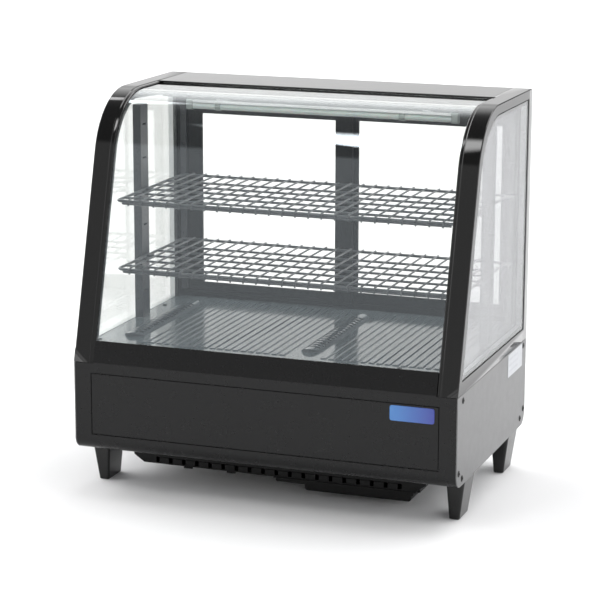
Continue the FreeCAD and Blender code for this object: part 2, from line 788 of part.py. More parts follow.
def wire_shelf(name):
    """Welded wire shelf: frame, lower front rail, depth wires that turn down over both, cross wires."""
    z = shelf_z[name]
    top = z + frame_wire + grid_wire - weld
    low = top - grid_wire - cross_wire + weld
    y0, y1 = shelf_y
    parts = [frame_loop(z)]
    step = 2 * shelf_half / (depth_wires + 1)
    nose_y = y0 - frame_wire - grid_wire + weld
    for i in range(depth_wires):
        x = -shelf_half + step * (i + 1)
        corners = [(x, y1, top), (x, nose_y, top), (x, nose_y, z - front_drop)]
        parts.append(pipe(corners, grid_wire, front_bend))
    for i in range(cross_wires):
        y = cross_rear_y - cross_pitch * i
        parts.append(rod(V(-shelf_half, y, low), AXIS_X, 2 * shelf_half, cross_wire))
    rail_half = shelf_half - shelf_corner
    parts.append(rod(V(-rail_half, y0, z - front_rail_below), AXIS_X, 2 * rail_half, front_rail))
    return fuse(parts)


# ---------------------------------------------------------------- sliding doors
def door_track_frame():
    """Rear frame with one channel for each sliding door."""
    outer = box(-track_half, track_half, *track_y, *track_z)
    opening = box(-lip_half, lip_half, track_y[0] - 1, track_y[1] + 1, *lip_z)
    channels = [box(-channel_half, channel_half, y0 - door_slack, y1 + door_slack, *channel_z)
                for y0, y1 in door_y.values()]
    return cut(outer, [opening] + channels)


def pull_pocket(side, grow):
    """Space of the flush pull in the outer stile, open to the rear."""
    x0, x1 = door_x[side]
    x = x0 + stile / 2 + 2 if side == "left" else x1 - stile / 2 - 5
    w, h = pull_size[0] / 2 + grow, pull_size[1] / 2 + grow
    y1 = door_y[side][1]
    return x, w, h, y1


def door_frame(side):
    x0, x1 = door_x[side]
    y0, y1 = door_y[side]
    frame = box(x0, x1, y0, y1, *door_z)
    clear = box(x0 + stile, x1 - stile, y0 - 1, y1 + 1, rail_low_top_z, rail_high_bottom_z)
    middle = (y0 + y1) / 2
    groove = box(x0 + stile - pane_bite, x1 - stile + pane_bite, middle - door_pane / 2 - 0.1,
                 middle + door_pane / 2 + 0.1, rail_low_top_z - pane_bite, rail_high_bottom_z + pane_bite)
    x, w, h, y_face = pull_pocket(side, 0.2)
    pocket = box(x - w, x + w, y_face - pull_depth - 0.2, y_face + 1, pull_z - h, pull_z + h)
    return cut(frame, [clear, groove, pocket])


def door_glass(side):
    x0, x1 = door_x[side]
    middle = sum(door_y[side]) / 2
    bite = pane_bite - 0.3
    return box(x0 + stile - bite, x1 - stile + bite, middle - door_pane / 2, middle + door_pane / 2,
               rail_low_top_z - bite, rail_high_bottom_z + bite)


def door_pull(side):
    x, w, h, y_face = pull_pocket(side, 0.0)
    wall = 1.6
    cup = box(x - w, x + w, y_face - pull_depth, y_face - 0.1, pull_z - h, pull_z + h)
    hollow = rounded_box(x - w + wall, x + w - wall, y_face - pull_depth + 1.2, y_face + 1,
                         pull_z - h + wall, pull_z + h - wall, 3.5, AXIS_Y)
    return cut(cup, [hollow])


# ---------------------------------------------------------------- lamp
lamp_y = 68.0
lamp_z = 636.5
lamp_half = 250.0
lamp_radius = 6.0


def lamp_bar():
    """Channel with two hanger legs that holds the light tube under the roof edge."""
    bar = box(-lamp_half + 12, lamp_half - 12, lamp_y - 7, lamp_y + 7,
              lamp_z + lamp_radius + 0.4, lamp_z + 12)
    arms = []
    for x in (-190.0, 190.0):
        drop = box(x - 8, x + 8, lamp_y + 7, lamp_y + 9, lamp_z + lamp_radius + 0.4, ceiling_bottom_z - gap)
        shelf = box(x - 8, x + 8, lamp_y + 7, front_glass_top_y + 40, ceiling_bottom_z - gap - 2,
                    ceiling_bottom_z - gap)
        arms += [drop, shelf]
    return fuse([bar] + arms)


def lamp_tube():
    return rod(V(-lamp_half + 12, lamp_y, lamp_z), AXIS_X, 2 * lamp_half - 24, lamp_radius)


def lamp_end_fittings():
    """Clear lamp holders at both ends and the two clips round the tube."""
    pieces = []
    for s in SIDES.values():
        x = s * (lamp_half - 6)
        pieces.append(rounded_box(x - 5.8, x + 5.8, lamp_y - 7, lamp_y + 7,
                                  lamp_z - 7.5, lamp_z + 12, 3.0, AXIS_X))
    for x in (-190.0, 150.0):
        outer = rod(V(x - 5, lamp_y, lamp_z), AXIS_X, 10, lamp_radius + 1.6)
        inner = rod(V(x - 6, lamp_y, lamp_z), AXIS_X, 12, lamp_radius + 0.3)
        top = box(x - 6, x + 6, lamp_y - 12, lamp_y + 12, lamp_z + lamp_radius + 0.1, lamp_z + 20)
        pieces.append(cut(outer, [inner, top]))
    return pieces


# ---------------------------------------------------------------- cooling
def fin_block(x0, x1, y0, y1, z0, z1, along, pitch, fin):
    """Coil pack: a stack of fins with through tubes, joined as one block."""
    fins = []
    span = (x1 - x0) if along == "x" else (y1 - y0)
    count = int(span // pitch)
    for i in range(count + 1):
        o = i * pitch
        if along == "x":
            fins.append(box(x0 + o, x0 + o + fin, y0, y1, z0, z1))
        else:
            fins.append(box(x0, x1, y0 + o, y0 + o + fin, z0, z1))
    tubes = []
    for k in range(3):
        z = z0 + (z1 - z0) * (k + 0.5) / 3
        if along == "x":
            tubes.append(rod(V(x0 - 6, (y0 + y1) / 2, z), AXIS_X, x1 - x0 + 12, 4.5))
        else:
            tubes.append(rod(V((x0 + x1) / 2, y0 - 6, z), AXIS_Y, y1 - y0 + 12, 4.5))
    return fuse(fins + tubes)


def fan_rotor(hub_radius, tip_radius, blades, depth, bore):
    """Axial fan about +Y at the origin: hub cup and pitched blades."""
    hub = rod(V(0, 0, 0), AXIS_Y, depth, hub_radius)
    pitch_angle = 28
    vanes = []
    for i in range(blades):
        vane = box(hub_radius - 2, tip_radius, depth / 2 - 0.8, depth / 2 + 0.8, -9, 9)
        vane.rotate(V(0, depth / 2, 0), AXIS_X, pitch_angle)
        vane.rotate(V(0, 0, 0), AXIS_Y, 360 / blades * i)
        vanes.append(vane)
    return cut(fuse([hub] + vanes), [rod(V(0, -1, 0), AXIS_Y, depth + 2, bore)])


condenser_x = (112.0, 322.0)
condenser_y = (158.0, 192.0)
condenser_z = (84.0, 214.0)
fan_centre = (217.0, 140.0, 149.0)
shaft_radius = 2.5
running_gap = 0.05


def condenser_coil():
    return fin_block(*condenser_x, *condenser_y, *condenser_z, "x", 7.0, 1.2)


def condenser_fan_shroud():
    """Plate with a ring for the fan and a bridge that carries its motor."""
    x, _, z = fan_centre
    y_plate = condenser_y[0] - 2
    plate = box(condenser_x[0], condenser_x[1], y_plate - 2, y_plate, body_bottom_z + sheet, condenser_z[1])
    ring = rod(V(x, y_plate - 16, z), AXIS_Y, 15, fan_radius + 5)
    hole = rod(V(x, y_plate - 20, z), AXIS_Y, 30, fan_radius + 2.5)
    arms = [box(x - 6, x + 6, 104, 106, condenser_z[0], condenser_z[1])]
    for s in (-1, 1):
        edge = z + s * (fan_radius + 4)
        arms.append(box(x - 6, x + 6, 104, y_plate - 15, edge - 1, edge + 1))
    hub_hole = rod(V(x, 100, z), AXIS_Y, 10, 8)
    return cut(fuse([cut(fuse([plate, ring]), [hole])] + arms), [hub_hole])


def condenser_fan_motor():
    x, _, z = fan_centre
    can = rod(V(x, 62, z), AXIS_Y, 41.8, 27)
    boss = rod(V(x, 100, z), AXIS_Y, 14, 7.5)
    shaft = rod(V(x, 110, z), AXIS_Y, 36, shaft_radius)
    return fuse([can, boss, shaft])


def condenser_fan_rotor():
    rotor = fan_rotor(fan_hub_radius, fan_radius, fan_blades, 18, shaft_radius + running_gap)
    rotor.translate(V(fan_centre[0], fan_centre[1] - 9 - 6, fan_centre[2]))
    return rotor


cold_fan_centre = (-4.0, -6.0, 180.0)


def evaporator_coil():
    return fin_block(-200, -60, -140, 130, 124, 236, "y", 9.0, 1.2)


def evaporator_fan_plate():
    x, y, z = cold_fan_centre
    plate = box(x - 18, x - 16, well_y[0] + 1, well_y[1] - 1,
                well_floor_z + 0.5, deck_top_z - deck_sheet - 1)
    hole = rod(V(x - 30, y, z), AXIS_X, 40, cold_fan_radius + 3)
    bridge = box(x - 40, x - 38, y - 6, y + 6, z - cold_fan_radius - 12, z + cold_fan_radius + 12)
    end_heights = [z + s * (cold_fan_radius + 10) for s in (-1, 1)]
    ends = [box(x - 40, x - 17, y - 6, y + 6, end - 1, end + 1) for end in end_heights]
    hub_hole = rod(V(x - 45, y, z), AXIS_X, 10, 7)
    return cut(fuse([cut(plate, [hole]), bridge] + ends), [hub_hole])


def evaporator_fan_motor():
    x, y, z = cold_fan_centre
    can = rod(V(x - 37.8, y, z), AXIS_X, 18, 18)
    boss = rod(V(x - 44, y, z), AXIS_X, 8, 6.5)
    shaft = rod(V(x - 22, y, z), AXIS_X, 26, shaft_radius)
    return fuse([can, boss, shaft])


def evaporator_fan_rotor():
    rotor = fan_rotor(12, cold_fan_radius, 5, 14, shaft_radius + running_gap)
    rotor.rotate(V(0, 0, 0), AXIS_Z, -90)
    rotor.translate(V(*cold_fan_centre) - AXIS_X * 12)
    return rotor


def compressor():
    """Hermetic shell with rounded ends on a foot plate with rubber pads."""
    cx, cy = compressor_place
    r = compressor_radius
    z0, z1 = 82.0, 206.0
    shell = rod(V(cx, cy, z0), AXIS_Z, z1 - z0, r)
    top_edge = [e for e in shell.Edges if all(abs(v.Z - z1) < 1e-6 for v in e.Vertexes)]
    shell = shell.makeFillet(34.0, top_edge[:1])
    low_edge = [e for e in shell.Edges if all(abs(v.Z - z0) < 1e-6 for v in e.Vertexes)]
    shell = shell.makeFillet(18.0, low_edge[:1])
    rim = rod(V(cx, cy, 128), AXIS_Z, 4, r + 3)
    feet = box(cx - 80, cx + 80, cy - 42, cy + 42, 78, 83)
    pads = [rod(V(cx + sx * 68, cy + sy * 32, body_bottom_z + sheet), AXIS_Z, 6, 9)
            for sx in (-1, 1) for sy in (-1, 1)]
    cover = box(cx - 26, cx + 26, cy - r - 22, cy - r * 0.7, 110, 160)
    return fuse([shell, rim, feet, cover] + pads)


def pipe(points, radius, bend):
    """Round pipe through points, every corner an arc of the given radius."""
    pts = [V(*p) for p in points]
    edges = []
    start = pts[0]
    for before, corner, after in zip(pts, pts[1:], pts[2:]):
        into = (before - corner).normalize()
        out = (after - corner).normalize()
        half_turn = math.acos(max(-1, min(1, into.dot(out)))) / 2
        reach = bend / math.tan(half_turn)
        a, b = corner + into * reach, corner + out * reach
        bisector = (into + out).normalize()
        middle = corner + bisector * (bend / math.sin(half_turn) - bend)
        edges += [Part.LineSegment(start, a).toShape(), Part.Arc(a, middle, b).toShape()]
        start = b
    edges.append(Part.LineSegment(start, pts[-1]).toShape())
    spine = Part.Wire(edges)
    ring = Part.Wire([Part.makeCircle(radius, pts[0], (pts[1] - pts[0]).normalize())])
    return spine.makePipeShell([ring], True, True)


def refrigerant_pipes():
    """Discharge, liquid and suction pipes, and the drier on the liquid line."""
    cx, cy = compressor_place
    r = compressor_radius
    discharge = pipe([(cx + r + 0.4, cy, 118), (cx + r + 30, cy, 118), (cx + r + 30, 100, 118),
                      (condenser_x[1] + 12, 175, 192)], 3.0, 14)
    suction = pipe([(cx - r - 0.4, cy, 150), (cx - r - 30, cy, 150), (cx - r - 30, 130, 150),
                    (cx - r - 30, 130, 165), (40, 130, 165)], 4.0, 7)
    liquid = pipe([(condenser_x[0] - 6.4, 175, 106), (96, 175, 106), (96, -60, 106)], 3.0, 8)
    drier = rod(V(96, -58, 106), AXIS_Y * -1, 90, 9.5)
    return [discharge, suction, fuse([liquid, drier])]


# ---------------------------------------------------------------- underside
def leg(sx, cy):
    """Tapered moulded leg: inner face upright, outer face leaning out to the body."""
    x0, x1, hy = leg_bottom
    X0, X1, HY = leg_top
    low_round, high_round = 4.0, 5.0

    def ring(a, b, h, z, r):
        y0, y1 = cy - h, cy + h
        k = r * (1 - math.sqrt(0.5))
        edges = [Part.LineSegment(V(a + r, y0, z), V(b - r, y0, z)),
                 Part.Arc(V(b - r, y0, z), V(b - k, y0 + k, z), V(b, y0 + r, z)),
                 Part.LineSegment(V(b, y0 + r, z), V(b, y1 - r, z)),
                 Part.Arc(V(b, y1 - r, z), V(b - k, y1 - k, z), V(b - r, y1, z)),
                 Part.LineSegment(V(b - r, y1, z), V(a + r, y1, z)),
                 Part.Arc(V(a + r, y1, z), V(a + k, y1 - k, z), V(a, y1 - r, z)),
                 Part.LineSegment(V(a, y1 - r, z), V(a, y0 + r, z)),
                 Part.Arc(V(a, y0 + r, z), V(a + k, y0 + k, z), V(a + r, y0, z))]
        return Part.Wire([e.toShape() for e in edges])

    body = Part.makeLoft([ring(x0, x1, hy, 0.0, low_round), ring(X0, X1, HY, leg_height - 0.2, high_round)],
                         True, True)
    sole = [e for e in body.Edges if all(abs(v.Z) < 1e-6 for v in e.Vertexes)]
    body = body.makeFillet(2.5, sole)
    return body if sx > 0 else mirror_x(body)


def legs():
    return [leg(s, y) for s in SIDES.values() for y in leg_centre_y]


def bottom_vent_cover():
    """Shallow moulded cover with a slotted front, and the two runners that carry the drip tray."""
    y0, y1 = vent_y
    z0, z1 = vent_z
    outer = poly_face([(-vent_half, y0, z1), (-vent_half, y0, z0 + 13), (-vent_half + vent_chamfer, y0, z0),
                       (vent_half - vent_chamfer, y0, z0), (vent_half, y0, z0 + 13),
                       (vent_half, y0, z1)]).extrude(V(0, y1 - y0, 0))
    w = vent_wall
    inner = box(-vent_half + vent_chamfer, vent_half - vent_chamfer, y0 + w, y1 - w, z0 + w, z1 + 5)
    count = int(2 * (vent_half - vent_chamfer - 8) // vent_pitch)
    first = -(count - 1) * vent_pitch / 2
    slots = []
    pads = []
    slot_low = z0 + 2.5
    for i in range(count):
        x = first + i * vent_pitch
        slots.append(box(x - vent_slot[0] / 2, x + vent_slot[0] / 2, y0 - 1, y0 + w + 1,
                         slot_low, slot_low + vent_slot[1]))
        if i < count - 1:
            middle = x + vent_pitch / 2
            reach = (vent_pitch - vent_slot[0]) / 2
            pads.append(box(middle - reach, middle + reach, y0 - 1.6, y0 + 0.5,
                            slot_low, slot_low + vent_slot[1]))
    under = [box(-230, 230, y, y + 5, z0 - 1, z0 + w + 1) for y in range(60, 140, 13)]
    rails = []
    for x, s in ((tray_x[0] - 0.6, -1), (tray_x[1] + 0.6, 1)):
        lo, hi = sorted((x, x + s * 3))
        web = box(lo, hi, tray_y[0] + 14, tray_y[1] + 8, tray_z[2] - 4.4, z0)
        lo, hi = sorted((x - s * 3.6, x + s * 3))
        lip = box(lo, hi, tray_y[0] + 14, tray_y[1] + 8, tray_z[2] - 4.4, tray_z[2] - 2.25)
        rails.append(fuse([web, lip]))
    clips = [box(x - 8, x + 8, y0 + 2, y0 + 6, z0 - 4, z0 + 1) for x in (-165.0, -85.0)]
    return [cut(fuse([outer] + pads + clips), [inner] + slots + under + [drain_way()])] + rails


def drip_tray():
    """Condensate tray: a shallow shelf part and a deeper box, hung by its rim."""
    y0, y1 = tray_y
    z0, z1, z2 = tray_z
    x0, x1 = tray_x
    inset = 4.2
    shallow = rounded_box(x0 + inset, x1 - inset, y0, y1, z1, z2, 3.5, AXIS_Y)
    shallow = fuse([shallow, box(x0 + inset, x1 - inset, y0, y1, z1 + 6, z2)])
    deep = rounded_box(tray_deep_x[0], tray_deep_x[1] - inset, y0, y1 - 20, z0, z2, 5.0, AXIS_Y)
    rim = box(x0, x1, y0, y1, z2 - 2, z2)
    w = tray_wall
    hollow = [box(x0 + inset + w, x1 - inset - w, y0 + w, y1 - w, z1 + w, z2 + 1),
              box(tray_deep_x[0] + w, tray_deep_x[1] - inset - w, y0 + w, y1 - 20 - w, z0 + w, z2 + 1)]
    return cut(fuse([shallow, deep, rim]), hollow)


# ---------------------------------------------------------------- build
os.makedirs("parts", exist_ok=True)

for side in SIDES:
    save("side_frame_" + side, side_frame(side))
    save("side_glazing_" + side, side_glazing(side))
    save("side_panel_" + side, side_panel(side))
    save("door_" + side + "_frame", door_frame(side))
    save("door_" + side + "_glass", door_glass(side))
    save("door_" + side + "_pull", door_pull(side))
save("glazing_gaskets", [glazing_gasket(side) for side in SIDES])
save("glazing_spacers", [glazing_spacer(side) for side in SIDES])
save("front_glass", front_glass())
save("front_glass_seal", front_glass_seal())
save("top_panel", top_panel())
save("ceiling_liner", ceiling_liner())
save("front_fascia", front_fascia())
save("front_access_panel", front_access_panel())
save("nameplate", nameplate())
save("screws", side_panel_screws() + deck_screws())
save("rating_label", rating_label())
save("base_pan", base_pan())
save("rear_panel", rear_panel())
save("insulated_base", insulated_base())
save("floor_deck", floor_deck())
for place in grille_x:
    save("air_grille_" + place, air_grille(place))
save("shelf_supports", [make(side) for make in (shelf_post, rear_shelf_rail) for side in SIDES])
save("shelf_clips", shelf_clips())
for name in shelf_z:
    save(name + "_shelf", wire_shelf(name))
save("door_track_frame", door_track_frame())
save("lamp_bar", lamp_bar())
save("lamp_tube", lamp_tube())
save("lamp_end_fittings", lamp_end_fittings())
save("controller_bezel", controller_bezel())
save("controller_display", controller_display())
for name in key_places():
    save("controller_key_" + name, controller_key(name))
save("switch_frames", switch_frames())
for name in switch_places:
    save(name + "_rocker", switch_rocker(name))
save("cable_gland", cable_gland())
save("wall_spacers", wall_spacers())
save("compressor", compressor())
save("refrigerant_pipes", refrigerant_pipes())
save("condenser_coil", condenser_coil())
save("condenser_fan_shroud", condenser_fan_shroud())
save("condenser_fan_rotor", condenser_fan_rotor())
save("fan_motors", [condenser_fan_motor(), evaporator_fan_motor()])
save("evaporator_coil", evaporator_coil())
save("evaporator_fan_plate", evaporator_fan_plate())
save("evaporator_fan_rotor", evaporator_fan_rotor())
save("bottom_vent_cover", bottom_vent_cover())
save("drip_tray", drip_tray())
save("legs", legs())
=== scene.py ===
import json
import math

import bmesh
import bpy
from mathutils import Matrix, Vector
from mathutils.bvhtree import BVHTree


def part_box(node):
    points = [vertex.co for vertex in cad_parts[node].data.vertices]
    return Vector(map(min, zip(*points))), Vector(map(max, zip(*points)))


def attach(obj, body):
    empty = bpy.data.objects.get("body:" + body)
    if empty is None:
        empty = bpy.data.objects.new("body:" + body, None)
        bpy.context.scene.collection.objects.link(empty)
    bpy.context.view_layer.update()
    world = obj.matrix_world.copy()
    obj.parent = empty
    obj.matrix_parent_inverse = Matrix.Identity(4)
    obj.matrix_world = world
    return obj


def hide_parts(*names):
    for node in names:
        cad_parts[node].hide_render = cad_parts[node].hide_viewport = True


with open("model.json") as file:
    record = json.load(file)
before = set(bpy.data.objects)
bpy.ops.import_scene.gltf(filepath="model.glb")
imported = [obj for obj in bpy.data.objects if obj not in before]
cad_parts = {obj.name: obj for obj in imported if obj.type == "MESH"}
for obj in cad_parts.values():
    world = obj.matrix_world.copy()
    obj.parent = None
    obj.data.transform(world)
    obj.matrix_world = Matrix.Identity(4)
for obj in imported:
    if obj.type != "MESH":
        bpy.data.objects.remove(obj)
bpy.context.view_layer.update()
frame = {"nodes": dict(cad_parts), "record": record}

MM = 0.001
NODES = frame["nodes"]
BODY_OF = {n: b for b, names in frame["record"]["behaviour"]["bodies"].items() for n in names}
SLOT_OF = {s["node"]: s["material_slot"] for s in frame["record"]["subparts"]}


# ------------------------------------------------------------------ materials
class Graph:
    """Small helpers for building a node tree."""

    def __init__(self, tree):
        self.tree = tree
        self.tree.nodes.clear()

    def add(self, kind, **settings):
        node = self.tree.nodes.new(kind)
        for key, value in settings.items():
            setattr(node, key, value)
        return node

    def link(self, a, b):
        self.tree.links.new(a, b)

    def remap(self, value, low, high, to_low, to_high, smooth=False):
        node = self.add("ShaderNodeMapRange", clamp=True)
        if smooth:
            node.interpolation_type = "SMOOTHSTEP"
        for key, number in (("From Min", low), ("From Max", high), ("To Min", to_low), ("To Max", to_high)):
            node.inputs[key].default_value = number
        self.link(value, node.inputs["Value"])
        return node.outputs["Result"]

    def math(self, operation, a, b):
        node = self.add("ShaderNodeMath", operation=operation)
        for socket, value in zip(node.inputs, (a, b)):
            if isinstance(value, (int, float)):
                socket.default_value = value
            else:
                self.link(value, socket)
        return node.outputs[0]


class Look(Graph):
    """A procedural material built round one Principled shader."""

    def __init__(self, name, **sockets):
        self.mat = bpy.data.materials.new(name)
        self.mat.use_nodes = True
        super().__init__(self.mat.node_tree)
        self.out = self.add("ShaderNodeOutputMaterial")
        self.shader = self.add("ShaderNodeBsdfPrincipled")
        self.link(self.shader.outputs["BSDF"], self.out.inputs["Surface"])
        self.place = self.add("ShaderNodeTexCoord").outputs["Object"]
        for key, value in sockets.items():
            self.shader.inputs[key.replace("_", " ")].default_value = value

    def scaled(self, scale):
        """Object coordinates stretched by a three-part scale."""
        mapping = self.add("ShaderNodeMapping")
        mapping.inputs["Scale"].default_value = scale
        self.link(self.place, mapping.inputs["Vector"])
        return mapping.outputs["Vector"]

    def noise(self, scale, detail=3.0, rough=0.5, vector=None):
        node = self.add("ShaderNodeTexNoise")
        node.inputs["Scale"].default_value = scale
        node.inputs["Detail"].default_value = detail
        node.inputs["Roughness"].default_value = rough
        self.link(vector or self.place, node.inputs["Vector"])
        return node.outputs["Fac"]

    def cells(self, scale, output="Distance"):
        node = self.add("ShaderNodeTexVoronoi", feature="F1")
        node.inputs["Scale"].default_value = scale
        self.link(self.place, node.inputs["Vector"])
        return node.outputs[output]

    def blend(self, factor, a, b):
        """Colour between a and b; each is a colour or a socket."""
        node = self.add("ShaderNodeMix", data_type="RGBA")
        self.link(factor, node.inputs["Factor"])
        for index, value in ((6, a), (7, b)):
            if isinstance(value, tuple):
                node.inputs[index].default_value = (*value, 1.0)
            else:
                self.link(value, node.inputs[index])
        return node.outputs[2]

    def colour(self, socket):
        self.link(socket, self.shader.inputs["Base Color"])

    def rough(self, socket):
        self.link(socket, self.shader.inputs["Roughness"])

    def bump(self, height, distance):
        """Relief from a height socket; distance in metres."""
        node = self.add("ShaderNodeBump")
        node.inputs["Strength"].default_value = 1.0
        node.inputs["Distance"].default_value = distance
        self.link(height, node.inputs["Height"])
        self.link(node.outputs["Normal"], self.shader.inputs["Normal"])


DUST_COLOUR, DUST_COVER, DUST_ROUGHNESS = (0.22, 0.22, 0.22), 0.12, 0.2
COATING_PEEL = 0.000006


def gloss_coating(name, dark, light, rough_low, rough_high, **sockets):
    """Smooth glossy surface with faint haze, sparse dust and a little orange peel."""
    look = Look(name, **sockets)
    haze = look.noise(scale=9, detail=4)
    dust = look.remap(look.noise(scale=1500, detail=2), 0.68, 0.76, 0.0, 1.0)
    tone = look.blend(haze, dark, light)
    look.colour(look.blend(look.math("MULTIPLY", dust, DUST_COVER), tone, DUST_COLOUR))
    wiped = look.noise(scale=30, detail=5, rough=0.6, vector=look.scaled((1, 1, 0.35)))
    base = look.remap(wiped, 0.35, 0.7, rough_low, rough_high)
    look.rough(look.math("ADD", base, look.math("MULTIPLY", dust, DUST_ROUGHNESS)))
    look.bump(look.noise(scale=240, detail=2), COATING_PEEL)
    return look.mat


# Cover and brightness of the painted glints, the lighter colour painted on the grain peaks.
PAINTED_GLINT_COVER, PAINTED_GLINT_GAIN = 0.35, 1.6


def powder_coating(name, dark, light, rough_low, rough_high, grain=0.000003, **sockets):
    """Fine-grained satin powder coat with painted glints: colour lighter on the peaks of the grain."""
    look = Look(name, **sockets)
    patches = look.noise(scale=7, detail=4)
    grain_height = look.noise(scale=1100, detail=3, rough=0.6)
    tone = look.blend(patches, dark, light)
    # Painted glints: colour lifted towards a brighter tone where the grain stands high.
    painted_glints = look.remap(grain_height, 0.4, 0.75, 0.0, PAINTED_GLINT_COVER)
    look.colour(look.blend(painted_glints, tone, tuple(PAINTED_GLINT_GAIN * c for c in light)))
    look.rough(look.remap(look.noise(scale=60, detail=4), 0.3, 0.7, rough_low, rough_high))
    look.bump(grain_height, grain)
    return look.mat


def moulded_plastic(name, dark, light, rough_low, rough_high, grain=0.00001, **sockets):
    """Injection-moulded plastic with a spark-eroded grain."""
    look = Look(name, **sockets)
    cells = look.cells(scale=900)
    look.colour(look.blend(look.noise(scale=14, detail=3), dark, light))
    look.rough(look.remap(look.noise(scale=45, detail=5, rough=0.6), 0.3, 0.7, rough_low, rough_high))
    look.bump(look.math("ADD", cells, look.noise(scale=400, detail=2)), grain)
    return look.mat


def rubber(name):
    look = Look(name, Specular_IOR_Level=0.15)
    look.colour(look.blend(look.noise(scale=80, detail=4), (0.008, 0.008, 0.009), (0.017, 0.017, 0.018)))
    look.rough(look.remap(look.noise(scale=160, detail=3), 0.3, 0.7, 0.6, 0.85))
    look.bump(look.noise(scale=900, detail=3), 0.00005)
    return look.mat


def brushed_metal(name, dark, light, rough_low, rough_high, stretch, **sockets):
    """Metal with fine drawn lines along the axis whose stretch is smallest."""
    look = Look(name, Metallic=1.0, **sockets)
    lines = look.noise(scale=700, detail=3, rough=0.6, vector=look.scaled(stretch))
    look.colour(look.blend(lines, dark, light))
    look.rough(look.remap(lines, 0.3, 0.7, rough_low, rough_high))
    look.bump(lines, 0.00001)
    return look.mat


def galvanised(name):
    """Zinc-coated sheet with overlapping crystals."""
    look = Look(name, Metallic=1.0)
    crystals = look.cells(scale=130, output="Color")
    grey = look.add("ShaderNodeSeparateColor")
    look.link(crystals, grey.inputs["Color"])
    look.colour(look.blend(grey.outputs["Red"], (0.42, 0.43, 0.45), (0.66, 0.67, 0.69)))
    look.rough(look.remap(grey.outputs["Green"], 0.0, 1.0, 0.28, 0.5))
    look.bump(look.noise(scale=300, detail=3), 0.00002)
    return look.mat


GLASS_EDGE_TINT = (0.86, 0.93, 1.0, 1.0)


def glass(name, tint, ior, smear, absorb, density):
    """Glass with faint smears and a coloured depth; light passes it without a black shadow."""
    look = Look(name, Transmission_Weight=1.0, IOR=ior)
    look.shader.inputs["Base Color"].default_value = (1, 1, 1, 1)
    smears = look.noise(scale=14, detail=6, rough=0.65, vector=look.scaled((1.0, 1.0, 0.5)))
    look.rough(look.remap(smears, 0.55, 0.9, 0.0, smear))
    look.colour(look.blend(look.remap(smears, 0.45, 0.9, 0.0, 1.0), (1, 1, 1), (0.98, 0.99, 0.985)))
    look.shader.inputs["Specular Tint"].default_value = GLASS_EDGE_TINT
    look.bump(look.noise(scale=5, detail=2), 0.000004)
    clear = look.add("ShaderNodeBsdfTransparent")
    clear.inputs["Color"].default_value = (*tint, 1)
    path = look.add("ShaderNodeLightPath")
    mix = look.add("ShaderNodeMixShader")
    look.link(path.outputs["Is Shadow Ray"], mix.inputs["Fac"])
    look.link(look.shader.outputs["BSDF"], mix.inputs[1])
    look.link(clear.outputs["BSDF"], mix.inputs[2])
    look.link(mix.outputs["Shader"], look.out.inputs["Surface"])
    inside = look.add("ShaderNodeVolumeAbsorption")
    inside.inputs["Color"].default_value = (*absorb, 1)
    inside.inputs["Density"].default_value = density
    look.link(inside.outputs["Volume"], look.out.inputs["Volume"])
    return look.mat


def spacer_metal():
    """Anodised spacer bar with two rows of fine holes."""
    look = Look("spacer_bar", Metallic=1.0)
    holes = look.cells(scale=260)
    dots = look.remap(holes, 0.1, 0.16, 1.0, 0.0)
    base = look.blend(look.noise(scale=90, detail=3), (0.62, 0.63, 0.64), (0.78, 0.79, 0.8))
    look.colour(look.blend(look.math("MULTIPLY", dots, 0.8), base, (0.12, 0.12, 0.12)))
    look.rough(look.remap(look.noise(scale=200, detail=3), 0.3, 0.7, 0.3, 0.45))
    look.bump(holes, 0.00003)
    return look.mat


def copper_tube():
    look = Look("copper_tube", Metallic=1.0)
    tarnish = look.noise(scale=40, detail=6, rough=0.65)
    look.colour(look.blend(tarnish, (0.78, 0.36, 0.2), (0.42, 0.2, 0.12)))
    look.rough(look.remap(tarnish, 0.3, 0.7, 0.22, 0.45))
    look.bump(look.noise(scale=500, detail=2), 0.00002)
    return look.mat


def opal_tube():
    look = Look("opal_tube", Subsurface_Weight=0.15, Subsurface_Scale=0.003)
    look.colour(look.blend(look.noise(scale=60, detail=3), (0.72, 0.77, 0.75), (0.78, 0.83, 0.81)))
    look.rough(look.remap(look.noise(scale=120, detail=3), 0.3, 0.7, 0.18, 0.3))
    look.bump(look.noise(scale=300, detail=2), 0.00001)
    return look.mat


def enamel_plate():
    """Blue enamel that deepens from one end of the plate to the other."""
    look = Look("enamel_plate", Coat_Weight=0.3, Coat_Roughness=0.2)
    low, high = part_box("nameplate")
    split = look.add("ShaderNodeSeparateXYZ")
    look.link(look.place, split.inputs["Vector"])
    along = look.remap(split.outputs["X"], low.x, high.x, 0.0, 1.0)
    flecked = look.math("ADD", along, look.remap(look.noise(scale=22, detail=2), 0.3, 0.7, -0.03, 0.03))
    look.colour(look.blend(flecked, (0.06, 0.21, 0.52), (0.035, 0.05, 0.30)))
    look.rough(look.remap(look.noise(scale=30, detail=2), 0.3, 0.7, 0.26, 0.28))
    look.bump(look.noise(scale=40, detail=1), 0.0000005)
    return look.mat


LABEL_MARGIN, LABEL_BLANK_END, LABEL_ROWS = 0.006, 0.03, 30.0


